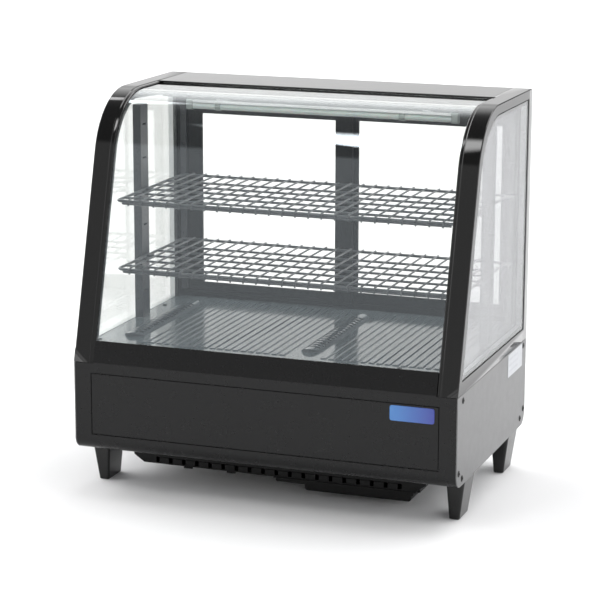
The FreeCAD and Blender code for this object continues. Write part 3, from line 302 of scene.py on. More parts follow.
def label_film():
    """Blank white film with a plain margin and empty grey rows."""
    look = Look("label_film")
    low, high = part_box("rating_label")
    split = look.add("ShaderNodeSeparateXYZ")
    look.link(look.place, split.inputs["Vector"])
    y, z = split.outputs["Y"], split.outputs["Z"]
    rows = look.add("ShaderNodeTexWave", bands_direction="Z")
    rows.inputs["Scale"].default_value = LABEL_ROWS
    look.link(look.place, rows.inputs["Vector"])
    inside_y = look.math("MULTIPLY", look.math("GREATER_THAN", y, low.y + LABEL_MARGIN),
                         look.math("LESS_THAN", y, high.y - LABEL_BLANK_END))
    inside_z = look.math("MULTIPLY", look.math("GREATER_THAN", z, low.z + LABEL_MARGIN),
                         look.math("LESS_THAN", z, high.z - LABEL_MARGIN))
    lines = look.math("MULTIPLY", look.remap(rows.outputs["Fac"], 0.6, 0.8, 0.0, 0.6),
                      look.math("MULTIPLY", inside_y, inside_z))
    paper = look.blend(look.noise(scale=200, detail=3), (0.42, 0.435, 0.46), (0.45, 0.465, 0.49))
    look.colour(look.blend(lines, paper, (0.35, 0.36, 0.4)))
    look.rough(look.remap(look.noise(scale=90, detail=3), 0.3, 0.7, 0.3, 0.42))
    look.bump(look.noise(scale=800, detail=2), 0.00001)
    return look.mat


def smoked_display():
    look = Look("smoked_display", Coat_Weight=0.5, Coat_Roughness=0.05)
    look.colour(look.blend(look.noise(scale=30, detail=2), (0.012, 0.004, 0.005), (0.02, 0.007, 0.008)))
    look.rough(look.remap(look.noise(scale=60, detail=4), 0.3, 0.7, 0.05, 0.12))
    look.bump(look.noise(scale=200, detail=2), 0.000005)
    return look.mat


def lit_segment():
    look = Look("lit_segment", Emission_Strength=1.6)
    look.shader.inputs["Emission Color"].default_value = (1.0, 0.06, 0.03, 1.0)
    look.colour(look.blend(look.noise(scale=900, detail=2), (0.5, 0.03, 0.02), (0.7, 0.05, 0.03)))
    return look.mat


def floor_paint():
    look = Look("studio_floor", Roughness=0.85, Specular_IOR_Level=0.2)
    look.colour(look.blend(look.noise(scale=3, detail=3), (0.80, 0.80, 0.805), (0.82, 0.82, 0.825)))
    look.bump(look.noise(scale=60, detail=3), 0.00002)
    return look.mat


DEEP_BLACK = {"dark": (0.002, 0.002, 0.002), "light": (0.004, 0.004, 0.004)}
GREEN_DEPTH = (0.5, 0.86, 0.74)
# Grey absorption used as painted shade in the right side glazing.
PAINTED_SHADE_DEPTH = (0.5, 0.51, 0.53)
MATERIALS = {
    "gloss_black": gloss_coating("gloss_black", **DEEP_BLACK, rough_low=0.03, rough_high=0.08),
    "satin_charcoal": powder_coating(
        "satin_charcoal", dark=(0.003, 0.003, 0.0032), light=(0.004, 0.004, 0.0043),
        rough_low=0.26, rough_high=0.28, grain=0.0000003, IOR=1.365),
    # Same black paint as the fascia, with a lighter base colour as painted sheen for the grazing reflections on
    # the side panels.
    "charcoal_painted_sheen": powder_coating(
        "charcoal_painted_sheen", dark=(0.082, 0.082, 0.084), light=(0.088, 0.088, 0.090),
        rough_low=0.32, rough_high=0.36, grain=0.0000015, IOR=1.7),
    "black_moulding": moulded_plastic(
        "black_moulding", **DEEP_BLACK, rough_low=0.3, rough_high=0.42, Specular_IOR_Level=0.18),
    "leg_plastic": moulded_plastic(
        "leg_plastic", **DEEP_BLACK, rough_low=0.14, rough_high=0.2, grain=0.000003, IOR=1.45),
    "black_liner": powder_coating(
        "black_liner", dark=(0.011, 0.0125, 0.014), light=(0.012, 0.0135, 0.0155),
        rough_low=0.3, rough_high=0.33, grain=0.000002),
    "gloss_black_deck": gloss_coating(
        "gloss_black_deck", dark=(0.068, 0.077, 0.086), light=(0.076, 0.086, 0.096),
        rough_low=0.08, rough_high=0.12),
    "black_coated_metal": powder_coating(
        "black_coated_metal", dark=(0.012, 0.0145, 0.019), light=(0.016, 0.0185, 0.024),
        rough_low=0.3, rough_high=0.4),
    "grey_wire": powder_coating(
        "grey_wire", dark=(0.055, 0.058, 0.064), light=(0.075, 0.080, 0.088), rough_low=0.28, rough_high=0.4),
    "rubber": rubber("rubber"),
    "aluminium": brushed_metal(
        "aluminium", dark=(0.6, 0.61, 0.62), light=(0.78, 0.79, 0.8),
        rough_low=0.25, rough_high=0.4, stretch=(0.05, 1, 1)),
    "spacer": spacer_metal(),
    "fin": brushed_metal(
        "fin_stock", dark=(0.55, 0.56, 0.58), light=(0.75, 0.76, 0.77),
        rough_low=0.3, rough_high=0.45, stretch=(1, 0.1, 1)),
    "galvanised": galvanised("galvanised"),
    "tinted_glass": glass(
        "tinted_glass", tint=(0.80, 0.84, 0.83), ior=1.8, smear=0.002, absorb=GREEN_DEPTH, density=9.0),
    "clear_glass": glass(
        "clear_glass", tint=(0.90, 0.93, 0.92), ior=1.5, smear=0.002, absorb=GREEN_DEPTH, density=6.0),
    # Copy of the clear glass for the right side glazing only, darkened by dense grey absorption as painted shade
    # for its darker reflections.
    "side_glass_painted_shade": glass(
        "side_glass_painted_shade", tint=(0.80, 0.82, 0.82), ior=1.5, smear=0.002, absorb=PAINTED_SHADE_DEPTH, density=104.0),
    "enamel_plate": enamel_plate(),
    "label_film": label_film(),
    "dark_screw": gloss_coating(
        "dark_screw", dark=(0.004, 0.004, 0.004), light=(0.008, 0.008, 0.008),
        rough_low=0.3, rough_high=0.4, IOR=1.3),
    "opal_tube": opal_tube(),
    "dark_display": smoked_display(),
    "lit_segment": lit_segment(),
    "grey_key": moulded_plastic(
        "grey_key", dark=(0.12, 0.12, 0.125), light=(0.16, 0.16, 0.165), rough_low=0.35, rough_high=0.5),
    "green_rocker": gloss_coating(
        "green_rocker", dark=(0.01, 0.16, 0.04), light=(0.015, 0.22, 0.06), rough_low=0.12, rough_high=0.2),
    "copper": copper_tube(),
    "fan_plastic": moulded_plastic(
        "fan_plastic", dark=(0.03, 0.03, 0.032), light=(0.05, 0.05, 0.052), rough_low=0.35, rough_high=0.5),
    "pale_plastic": moulded_plastic(
        "pale_plastic", dark=(0.34, 0.37, 0.36), light=(0.40, 0.43, 0.42), rough_low=0.2, rough_high=0.3),
    "white_mark": moulded_plastic(
        "white_mark", dark=(0.6, 0.6, 0.6), light=(0.7, 0.7, 0.7), rough_low=0.4, rough_high=0.5),
}


# ------------------------------------------------------------------ geometry helpers
def make_piece(name, mesh, material, body="cabinet", slot=None, replaces=(), smooth=30.0):
    """Object that rides on a body; smooth is the sharpest angle shaded round, None for all."""
    obj = bpy.data.objects.new(name, mesh)
    bpy.context.scene.collection.objects.link(obj)
    mesh.materials.append(MATERIALS[material])
    mesh.shade_smooth()
    if smooth is not None:
        mesh.set_sharp_from_angle(angle=math.radians(smooth))
    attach(obj, body)
    if replaces:
        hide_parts(*replaces)
    slot or material
    return obj


def mesh_from(name, verts, faces):
    """Mesh from points in millimetres."""
    mesh = bpy.data.meshes.new(name)
    mesh.from_pydata([tuple(c * MM for c in v) for v in verts], [], faces)
    mesh.validate()
    bm = bmesh.new()
    bm.from_mesh(mesh)
    bmesh.ops.recalc_face_normals(bm, faces=bm.faces)
    bm.to_mesh(mesh)
    bm.free()
    return mesh


MERGE_DISTANCE, FLAT_ANGLE = 2e-6, 0.4


def sharp_edges(bm, limit):
    return [e for e in bm.edges if len(e.link_faces) == 2 and e.calc_face_angle(0) > math.radians(limit)]


def clean_copy(node):
    """Mesh of a CAD piece with flat faces joined up again."""
    bm = bmesh.new()
    bm.from_mesh(NODES[node].data)
    bmesh.ops.remove_doubles(bm, verts=bm.verts, dist=MERGE_DISTANCE)
    bmesh.ops.dissolve_limit(bm, angle_limit=math.radians(FLAT_ANGLE), verts=bm.verts, edges=bm.edges)
    bmesh.ops.triangulate(bm, faces=[f for f in bm.faces if len(f.verts) > 4])
    return bm


def skin_area(bm):
    total = 0.0
    for a, b, c in bm.calc_loop_triangles():
        total += (b.vert.co - a.vert.co).cross(c.vert.co - a.vert.co).length / 2
    return total


CROWDED, LONG_EDGE = 1.2, 2.0
FURTHEST, LEAST_SKIN, MOST_SKIN = 0.6, 0.8, 1.02


def soften(bm, width, limit, long_only):
    """Round the sharp edges; True when the new skin stays by the old one everywhere."""
    tree = BVHTree.FromBMesh(bm)
    area = skin_area(bm)
    edges = sharp_edges(bm, limit)
    if long_only:
        crowded = {v for e in bm.edges if e.calc_length() < CROWDED * width for v in e.verts}
        edges = [e for e in edges
                 if e.calc_length() > LONG_EDGE * width and not crowded.intersection(e.verts)]
    bmesh.ops.bevel(bm, geom=edges, offset=width, segments=2, profile=0.5, affect="EDGES",
                    clamp_overlap=False, miter_outer="ARC")
    near = max((tree.find_nearest(v.co)[3] or 0.0) for v in bm.verts) < FURTHEST * width
    return near and LEAST_SKIN * area < skin_area(bm) < MOST_SKIN * area


SHARP_ANGLE, NORMAL_WEIGHT = 32.0, 90


def refined(node, width, material=None):
    """The CAD piece again with rounded edges; width in millimetres."""
    bm = clean_copy(node)
    for long_only in (False, True):
        if not width or soften(bm, width * MM, SHARP_ANGLE, long_only):
            break
        bm.free()
        bm = clean_copy(node)
    mesh = bpy.data.meshes.new(node + "_piece")
    bm.to_mesh(mesh)
    bm.free()
    material = material or SLOT_OF[node]
    obj = make_piece(node + "_piece", mesh, material, BODY_OF[node], SLOT_OF[node], (node,),
                     smooth=None if width else SHARP_ANGLE)
    if width:
        weigh = obj.modifiers.new("even normals", "WEIGHTED_NORMAL")
        weigh.weight = NORMAL_WEIGHT


def tube(points, radius, sides, closed=False):
    """Vertices and faces of a round wire along points, in millimetres."""
    pts = [Vector(p) for p in points]
    count = len(pts)
    verts, faces = [], []
    normal = None
    for i, p in enumerate(pts):
        if closed:
            tangent = (pts[(i + 1) % count] - pts[i - 1]).normalized()
        else:
            tangent = (pts[min(i + 1, count - 1)] - pts[max(i - 1, 0)]).normalized()
        if normal is None:
            normal = tangent.orthogonal().normalized()
        normal = (normal - tangent * normal.dot(tangent)).normalized()
        side = tangent.cross(normal)
        for k in range(sides):
            a = 2 * math.pi * k / sides
            verts.append(p + (normal * math.cos(a) + side * math.sin(a)) * radius)
    rings = count if closed else count - 1
    for i in range(rings):
        j = (i + 1) % count
        for k in range(sides):
            m = (k + 1) % sides
            faces.append((i * sides + k, i * sides + m, j * sides + m, j * sides + k))
    if not closed:
        faces.append(tuple(range(sides)))
        faces.append(tuple((count - 1) * sides + k for k in range(sides)))
    return verts, faces


def bent_path(corners, radius, steps=6, closed=False):
    """Polyline through corners with every corner turned into an arc."""
    pts = [Vector(c) for c in corners]
    count = len(pts)
    path = [] if closed else [pts[0]]
    span = range(count) if closed else range(1, count - 1)
    for i in span:
        before, corner, after = pts[i - 1], pts[i], pts[(i + 1) % count]
        into, out = (before - corner).normalized(), (after - corner).normalized()
        half_turn = into.angle(out) / 2
        reach = radius / math.tan(half_turn)
        centre = corner + (into + out).normalized() * (radius / math.sin(half_turn))
        start, end = corner + into * reach, corner + out * reach
        a, b = start - centre, end - centre
        sweep = a.angle(b)
        for k in range(steps + 1):
            t = k / steps
            path.append(centre + (a * math.sin((1 - t) * sweep) + b * math.sin(t * sweep)) / math.sin(sweep))
    if not closed:
        path.append(pts[-1])
    return path


class Builder:
    """Collects several loose shells into one mesh, in millimetres."""

    def __init__(self):
        self.verts, self.faces = [], []

    def add(self, shell):
        verts, faces = shell
        start = len(self.verts)
        self.verts += [tuple(v) for v in verts]
        self.faces += [tuple(start + i for i in f) for f in faces]

    def mesh(self, name):
        return mesh_from(name, self.verts, self.faces)


def lathe(profile, place, axis, sides):
    """Shell turned about an axis; profile is (distance along the axis, radius)."""
    axis = Vector(axis).normalized()
    side = axis.orthogonal().normalized()
    other = axis.cross(side)
    base = Vector(place)
    verts, faces, rings = [], [], []
    for along, radius in profile:
        if radius == 0:
            rings.append([len(verts)])
            verts.append(base + axis * along)
            continue
        rings.append(list(range(len(verts), len(verts) + sides)))
        for k in range(sides):
            a = 2 * math.pi * k / sides
            verts.append(base + axis * along + (side * math.cos(a) + other * math.sin(a)) * radius)
    for one, two in zip(rings, rings[1:]):
        for k in range(sides):
            m = (k + 1) % sides
            if len(one) == 1:
                faces.append((one[0], two[k], two[m]))
            elif len(two) == 1:
                faces.append((one[k], one[m], two[0]))
            else:
                faces.append((one[k], one[m], two[m], two[k]))
    return verts, faces


# ------------------------------------------------------------------ outline of the display space
HALF = 341.0
FRONT_STEPS, CURVE_STEPS = 9, 40
CURVE_Y, CURVE_Z, CURVE_R = -3.5, 545.0, 130.0
FRONT_Y, BREAK_Z = -225.0, 229.0
GLASS_INSET, GLASS_THICK, GLASS_EDGE = 3.85, 4.5, 0.5
GLASS_LOW_Z, GLASS_REAR_Y, GLASS_REACH = 253.0, 80.0, 309.7
LEAN = math.pi / 2 - (math.atan2(CURVE_Z - BREAK_Z, CURVE_Y - FRONT_Y)
                      + math.asin(CURVE_R / math.hypot(CURVE_Z - BREAK_Z, CURVE_Y - FRONT_Y)))


def outline(inset, low_z, rear_y):
    """Points (y, z, normal y, normal z) up the leaning front and round the curve."""
    radius = CURVE_R - inset
    ny, nz = -math.cos(LEAN), math.sin(LEAN)
    ty, tz = CURVE_Y + radius * ny, CURVE_Z + radius * nz
    points = []
    for k in range(FRONT_STEPS):
        z = low_z + (tz - low_z) * k / FRONT_STEPS
        points.append((ty + (z - tz) * math.tan(LEAN), z, ny, nz))
    for k in range(CURVE_STEPS + 1):
        a = math.pi - LEAN - (math.pi / 2 - LEAN) * k / CURVE_STEPS
        ny, nz = math.cos(a), math.sin(a)
        points.append((CURVE_Y + radius * ny, CURVE_Z + radius * nz, ny, nz))
    points.append((rear_y, CURVE_Z + radius, 0.0, 1.0))
    return points


def bent_pane(name):
    """Bent glass pane with ground edges."""
    thick, edge, reach = GLASS_THICK, GLASS_EDGE, GLASS_REACH
    section = [(-reach, edge), (-reach + edge, 0), (reach - edge, 0), (reach, edge),
               (reach, thick - edge), (reach - edge, thick), (-reach + edge, thick), (-reach, thick - edge)]
    outer = outline(GLASS_INSET, GLASS_LOW_Z, GLASS_REAR_Y)
    verts, faces = [], []
    for y, z, ny, nz in outer:
        for x, depth in section:
            verts.append((x, y - ny * depth, z - nz * depth))
    n = len(section)
    for i in range(len(outer) - 1):
        for k in range(n):
            m = (k + 1) % n
            faces.append((i * n + k, i * n + m, (i + 1) * n + m, (i + 1) * n + k))
    faces.append(tuple(range(n)))
    faces.append(tuple((len(outer) - 1) * n + k for k in range(n)))
    return mesh_from(name, verts, faces)


# ------------------------------------------------------------------ cabinet shell
# Each CAD piece that keeps its shape, with the width of its rounded edges in millimetres.
EDGE_WIDTHS = (("side_frame_left", 0.9), ("side_frame_right", 0.9), ("front_fascia", 0.6),
               ("top_panel", 0.5), ("side_panel_left", 0.4), ("side_panel_right", 0.4),
               ("front_access_panel", 0.7), ("rear_panel", 0.3), ("base_pan", 0.3),
               ("door_track_frame", 0.35), ("door_left_frame", 0.8), ("door_right_frame", 0.8),
               ("door_left_pull", 0.3), ("door_right_pull", 0.3), ("ceiling_liner", 0.5),
               ("insulated_base", 0.0), ("floor_deck", 0.5), ("air_grille_left", 0.3),
               ("air_grille_centre", 0.3), ("shelf_supports", 0.3), ("shelf_clips", 0.4),
               ("controller_bezel", 0.4), ("controller_display", 0.2), ("controller_key_set", 0.0),
               ("controller_key_up", 0.0), ("controller_key_down", 0.0), ("switch_frames", 0.3),
               ("power_rocker", 0.4), ("light_rocker", 0.4), ("cable_gland", 0.3),
               ("wall_spacers", 0.0), ("compressor", 0.5), ("refrigerant_pipes", 0.0),
               ("condenser_fan_shroud", 0.3), ("condenser_fan_rotor", 0.2), ("fan_motors", 0.4),
               ("evaporator_fan_plate", 0.3), ("evaporator_fan_rotor", 0.2),
               ("bottom_vent_cover", 0.6), ("drip_tray", 0.5), ("nameplate", 0.25),
               ("rating_label", 0.0), ("lamp_bar", 0.4), ("glazing_gaskets", 0.2),
               ("side_glazing_left", 0.4), ("side_glazing_right", 0.4),
               ("door_left_glass", 0.4), ("door_right_glass", 0.4), ("front_glass_seal", 0.2))
# Pieces given a copy of their material with painted light: painted sheen on the side panels, painted shade in
# the right side glass.
PAINTED_LIGHT_MATERIALS = {"side_panel_left": "charcoal_painted_sheen", "side_panel_right": "charcoal_painted_sheen",
               "side_glazing_right": "side_glass_painted_shade"}
BARS_FACING_X = 0.7

for node, width in EDGE_WIDTHS:
    refined(node, width, PAINTED_LIGHT_MATERIALS.get(node))
for part, material, facing in (("glazing_spacer_bars", "spacer", False),
                               ("glazing_spacer_sealant", "rubber", True)):
    bars = clean_copy("glazing_spacers")
    others = [f for f in bars.faces if (abs(f.normal.x) > BARS_FACING_X) != facing]
    bmesh.ops.delete(bars, geom=others, context="FACES")
    bar_mesh = bpy.data.meshes.new(part)
    bars.to_mesh(bar_mesh)
    bars.free()
    make_piece(part, bar_mesh, material, slot=SLOT_OF["glazing_spacers"], replaces=("glazing_spacers",))
refined("legs", 0.5, "leg_plastic")
refined("lamp_tube", 0.5)
refined("lamp_end_fittings", 0.4, "pale_plastic")
refined("condenser_coil", 0.0, "fin")
refined("evaporator_coil", 0.0, "fin")

make_piece("front_glass_pane", bent_pane("front_glass_pane"), "tinted_glass", replaces=("front_glass",))


# ------------------------------------------------------------------ wire shelves
SHELF_HALF, SHELF_FRONT, SHELF_BACK, SHELF_CORNER = 304.5, -118.0, 169.5, 10.0
FRAME_WIRE, GRID_WIRE, CROSS_WIRE, FRONT_RAIL = 2.5, 1.6, 2.1, 2.0
DEPTH_WIRES, CROSS_WIRES, CROSS_REAR, CROSS_PITCH = 25, 5, 95.0, 46.0
FRONT_DROP, FRONT_BEND, RAIL_BELOW, WELD, REAR_OVERHANG = 7.2, 4.0, 4.2, 0.8, 1.5
CORNER_STEPS, FRAME_SIDES, GRID_SIDES, CROSS_SIDES = 8, 16, 10, 12
SHELF_HEIGHTS = (("upper_shelf", 490.0), ("lower_shelf", 370.0))


def wire_shelf(name, z):
    """Welded shelf: a rim, wires from back to front that turn down, cross wires and a front rail."""
    wires = Builder()
    x, y0, y1 = SHELF_HALF, SHELF_FRONT, SHELF_BACK
    loop = bent_path([(-x, y0, z), (x, y0, z), (x, y1, z), (-x, y1, z)], SHELF_CORNER, CORNER_STEPS, closed=True)
    wires.add(tube(loop, FRAME_WIRE, FRAME_SIDES, closed=True))
    top = z + FRAME_WIRE + GRID_WIRE - WELD
    nose = y0 - FRAME_WIRE - GRID_WIRE + WELD
    step = 2 * x / (DEPTH_WIRES + 1)
    for i in range(DEPTH_WIRES):
        wx = -x + step * (i + 1)
        corners = [(wx, y1 + REAR_OVERHANG, top), (wx, nose, top), (wx, nose, z - FRONT_DROP)]
        wires.add(tube(bent_path(corners, FRONT_BEND), GRID_WIRE, GRID_SIDES))
    low = top - GRID_WIRE - CROSS_WIRE + WELD
    for i in range(CROSS_WIRES):
        y = CROSS_REAR - CROSS_PITCH * i
        wires.add(tube([(-x, y, low), (x, y, low)], CROSS_WIRE, CROSS_SIDES))
    rail = x - SHELF_CORNER
    wires.add(tube([(-rail, y0, z - RAIL_BELOW), (rail, y0, z - RAIL_BELOW)], FRONT_RAIL, CROSS_SIDES))
    make_piece(name + "_wires", wires.mesh(name), "grey_wire", BODY_OF[name], replaces=(name,), smooth=50)


for shelf, z in SHELF_HEIGHTS:
    wire_shelf(shelf, z)


# ------------------------------------------------------------------ screws
SIDE_SCREWS = [(-194.5, 216.0), (189.5, 218.5), (198.0, 100.7), (177.4, 87.4), (-213.4, 97.2), (-193.8, 84.2)]
DECK_SCREWS = [(-312, -180), (-312, 100), (312, -180), (312, 100), (-230, -187), (230, -187)]
DECK_Z, REAR_SCREW_X, REAR_SCREW_Z = 258.0, (-325, -110, 90, 325), (104, 245)
# Radius and height of the head, and depth of the shank.
SIDE_SCREW, DECK_SCREW, REAR_SCREW = (5.5, 1.55, 2.0), (4.5, 1.5, 4.0), (3.6, 1.4, 1.5)
SCREW_SIDES, SHANK, SOCKET, DOME_STEPS, DOME_SPREAD, HEAD_SKIRT = 18, 0.36, 0.38, 6, 8.5, 0.2


def screw(place, axis, radius, height, depth):
    """Domed head with a round socket, and its shank."""
    shank = radius * SHANK
    profile = [(-depth, 0), (-depth, shank), (-0.01, shank), (-0.01, radius),
               (height * HEAD_SKIRT, radius * 0.995)]
    for k in range(1, DOME_STEPS):
        r = radius * (1 - k / DOME_SPREAD)
        dome = math.sqrt(max(0.0, 1 - (r / radius) ** 2))
        profile.append((height * (HEAD_SKIRT + (1 - HEAD_SKIRT) * dome), r))
    profile += [(height * 0.95, radius * SOCKET), (height * 0.35, shank), (height * 0.3, 0)]
    return lathe(profile, place, axis, SCREW_SIDES)


screws = Builder()
for sx in (-1, 1):
    for y, z in SIDE_SCREWS:
        screws.add(screw((sx * HALF, y, z), (sx, 0, 0), *SIDE_SCREW))
for x, y in DECK_SCREWS:
    screws.add(screw((x, y, DECK_Z), (0, 0, 1), *DECK_SCREW))
make_piece("case_screws", screws.mesh("case_screws"), "dark_screw", replaces=("screws",), smooth=40)

rear_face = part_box("rear_panel")[1].y / MM
rear_screws = Builder()
for x in REAR_SCREW_X:
    for z in REAR_SCREW_Z:
        rear_screws.add(screw((x, rear_face, z), (0, 1, 0), *REAR_SCREW))
make_piece("rear_panel_screws", rear_screws.mesh("rear_panel_screws"), "dark_screw", smooth=40)


# ------------------------------------------------------------------ marks on the controls at the back
MARK_RISE, MARK_SINK, BEHIND_Y = 0.06, 0.3, 300.0
DIGITS = {"3": "abgcd", "0": "abcdef"}
DIGIT_SIZE, DIGIT_SHIFT, BAR_HALF, BAR_GAP = (6.5, 12), 6, 0.75, 0.3
POINT_HALF, POINT_LOW = 0.8, 6
KEY_TIP, KEY_HALF, KEY_RING = 2.2, 2.0, 1.7
BAR_SIGN, RING_SIGN_LOW, RING_SIGN, SIGN_HALF, RING_HALF = (2.6, 6.0), 4.6, 1.5, 0.4, 0.3


def surface_of(node):
    """Search tree over the faces of a CAD piece."""
    bm = clean_copy(node)
    tree = BVHTree.FromBMesh(bm)
    bm.free()
    return tree


def mark(tree, points):
    """Thin prism over (x, z) points in millimetres, laid on a surface that faces the back."""
    count = len(points)
    verts = []
    for shift in (MARK_RISE, -MARK_SINK):
        for x, z in points:
            hit = tree.ray_cast(Vector((x, BEHIND_Y, z)) * MM, Vector((0, -1, 0)))[0]
            verts.append((x, hit.y / MM + shift, z))
    faces = [tuple(range(count)), tuple(range(2 * count - 1, count - 1, -1))]
    faces += [(k, k + count, (k + 1) % count + count, (k + 1) % count) for k in range(count)]
    return verts, faces


def stroke(a, b, half_width, gap=0.0):
    """Corners of a bar with pointed ends from a to b."""
    a, b = Vector(a), Vector(b)
    along = (b - a).normalized()
    side = Vector((-along.y, along.x)) * half_width
    a, b = a + along * gap, b - along * gap
    tip = along * half_width
    return [tuple(p) for p in (a, a + tip + side, b - tip + side, b, b - tip - side, a + tip - side)]


def digit_strokes(digit, x, z, width, height):
    """Lit bars of a seven-bar digit as it is read from behind the case."""
    w, h = -width / 2, height / 2
    ends = {"a": ((-w, h), (w, h)), "b": ((w, h), (w, 0)), "c": ((w, 0), (w, -h)), "d": ((w, -h), (-w, -h)),
            "e": ((-w, -h), (-w, 0)), "f": ((-w, 0), (-w, h)), "g": ((-w, 0), (w, 0))}
    for letter in DIGITS[digit]:
        (ax, az), (bx, bz) = ends[letter]
        yield stroke((x + ax, z + az), (x + bx, z + bz), BAR_HALF, BAR_GAP)


def ring_strokes(x, z, radius, steps=20):
    """Short quads that make a ring."""
    corners = [(math.cos(2 * math.pi * k / steps), math.sin(2 * math.pi * k / steps)) for k in range(steps)]
    for (c, s), (d, t) in zip(corners, corners[1:] + corners[:1]):
        near, far = radius - RING_HALF, radius + RING_HALF
        yield [(x + near * c, z + near * s), (x + far * c, z + far * s), (x + far * d, z + far * t),
               (x + near * d, z + near * t)]


def centre_of(node):
    low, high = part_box(node)
    return (low.x + high.x) / 2 / MM, (low.z + high.z) / 2 / MM


def put_marks(name, node, shapes, material):
    """One piece made of flat marks on the rear face of a CAD piece."""
    tree = surface_of(node)
    shell = Builder()
    for points in shapes:
        shell.add(mark(tree, points))
    make_piece(name, shell.mesh(name), material, BODY_OF[node], SLOT_OF[node])


cx, cz = centre_of("controller_display")
reading = [*digit_strokes("3", cx + DIGIT_SHIFT, cz, *DIGIT_SIZE),
           *digit_strokes("0", cx - DIGIT_SHIFT, cz, *DIGIT_SIZE)]
reading.append([(cx + sx * POINT_HALF, cz - POINT_LOW + sz * POINT_HALF)
                for sx, sz in ((-1, -1), (1, -1), (1, 1), (-1, 1))])
put_marks("display_reading", "controller_display", reading, "lit_segment")
for node, tip in (("controller_key_up", KEY_TIP), ("controller_key_down", -KEY_TIP)):
    cx, cz = centre_of(node)
    arrow = [(cx, cz + tip), (cx - KEY_HALF, cz - 0.6 * tip), (cx + KEY_HALF, cz - 0.6 * tip)]
    put_marks(node + "_mark", node, [arrow], "white_mark")
cx, cz = centre_of("controller_key_set")
put_marks("controller_key_set_mark", "controller_key_set", ring_strokes(cx, cz, KEY_RING), "white_mark")
for node in ("power_rocker", "light_rocker"):
    cx, cz = centre_of(node)
    signs = [stroke((cx, cz + BAR_SIGN[0]), (cx, cz + BAR_SIGN[1]), SIGN_HALF),
             *ring_strokes(cx, cz - RING_SIGN_LOW, RING_SIGN)]
    put_marks(node + "_mark", node, signs, "white_mark")


# ------------------------------------------------------------------ studio
# Strengths of the parts of the surroundings.
FRONT_LEVEL, CEILING_LEVEL, REAR_LEVEL, SIDE_LEVEL = 0.64, 0.19, 1.18, 1.15
REAR_SCREEN, REAR_GLOW, REAR_FLAG = 0.85, 1.6, 0.92
REAR_RIGHT_SHARE, SCREEN_RIGHT, SIDE_LOW_SHARE = 0.93, 0.55, 0.35
# Where they lie, as ranges of the parts x, y and z of a unit direction; edges are half the soft border.
FRONT_TOP, FRONT_BORDER = 0.5, 0.05
REAR_START_Y, REAR_FADE_Z = (0.0, 0.3), (0.5, 0.98)
REAR_TURN_X, SCREEN_TURN_X = (-0.42, -0.24), (-0.28, -0.24)
SCREEN_Z, SCREEN_BORDER = (0.42, 0.77), 0.09
FLAG_X, FLAG_X_BORDER, FLAG_Z, FLAG_Z_BORDER = (-0.1, 0.3), 0.03, (0.08, 0.52), 0.04
RIGHT_SIDE_X, LEFT_SIDE_X, SIDE_RISE_Z = (0.42, 0.6), (-0.62, -0.48), (0.04, 0.3)
GLOW_X, GLOW_BORDER, GLOW_Y, GLOW_FADE_Z = (0.3, 0.75), 0.08, (0.4, 0.6), (0.3, 0.5)
# Overhead panels lie on the plane one unit up, and their front side may slope by the skew.
LOWEST_PANEL_Z = 0.1
OVERHEAD_PANELS = (
    {"x": (-0.432, -0.27), "y": (-0.88, -0.36), "skew": 1.9, "border": (0.012, 0.09), "strength": 8.5},
    {"x": (-0.56, -0.475), "y": (0.38, 0.52), "skew": 0.0, "border": (0.02, 0.03), "strength": 6.5},
    {"x": (-0.12, 0.55), "y": (0.05, 0.9), "skew": 0.0, "border": (0.06, 0.06), "strength": 4.3},
    {"x": (-1.9, -0.8), "y": (-0.6, 0.7), "skew": 0.0, "border": (0.1, 0.1), "strength": 3.0},
)


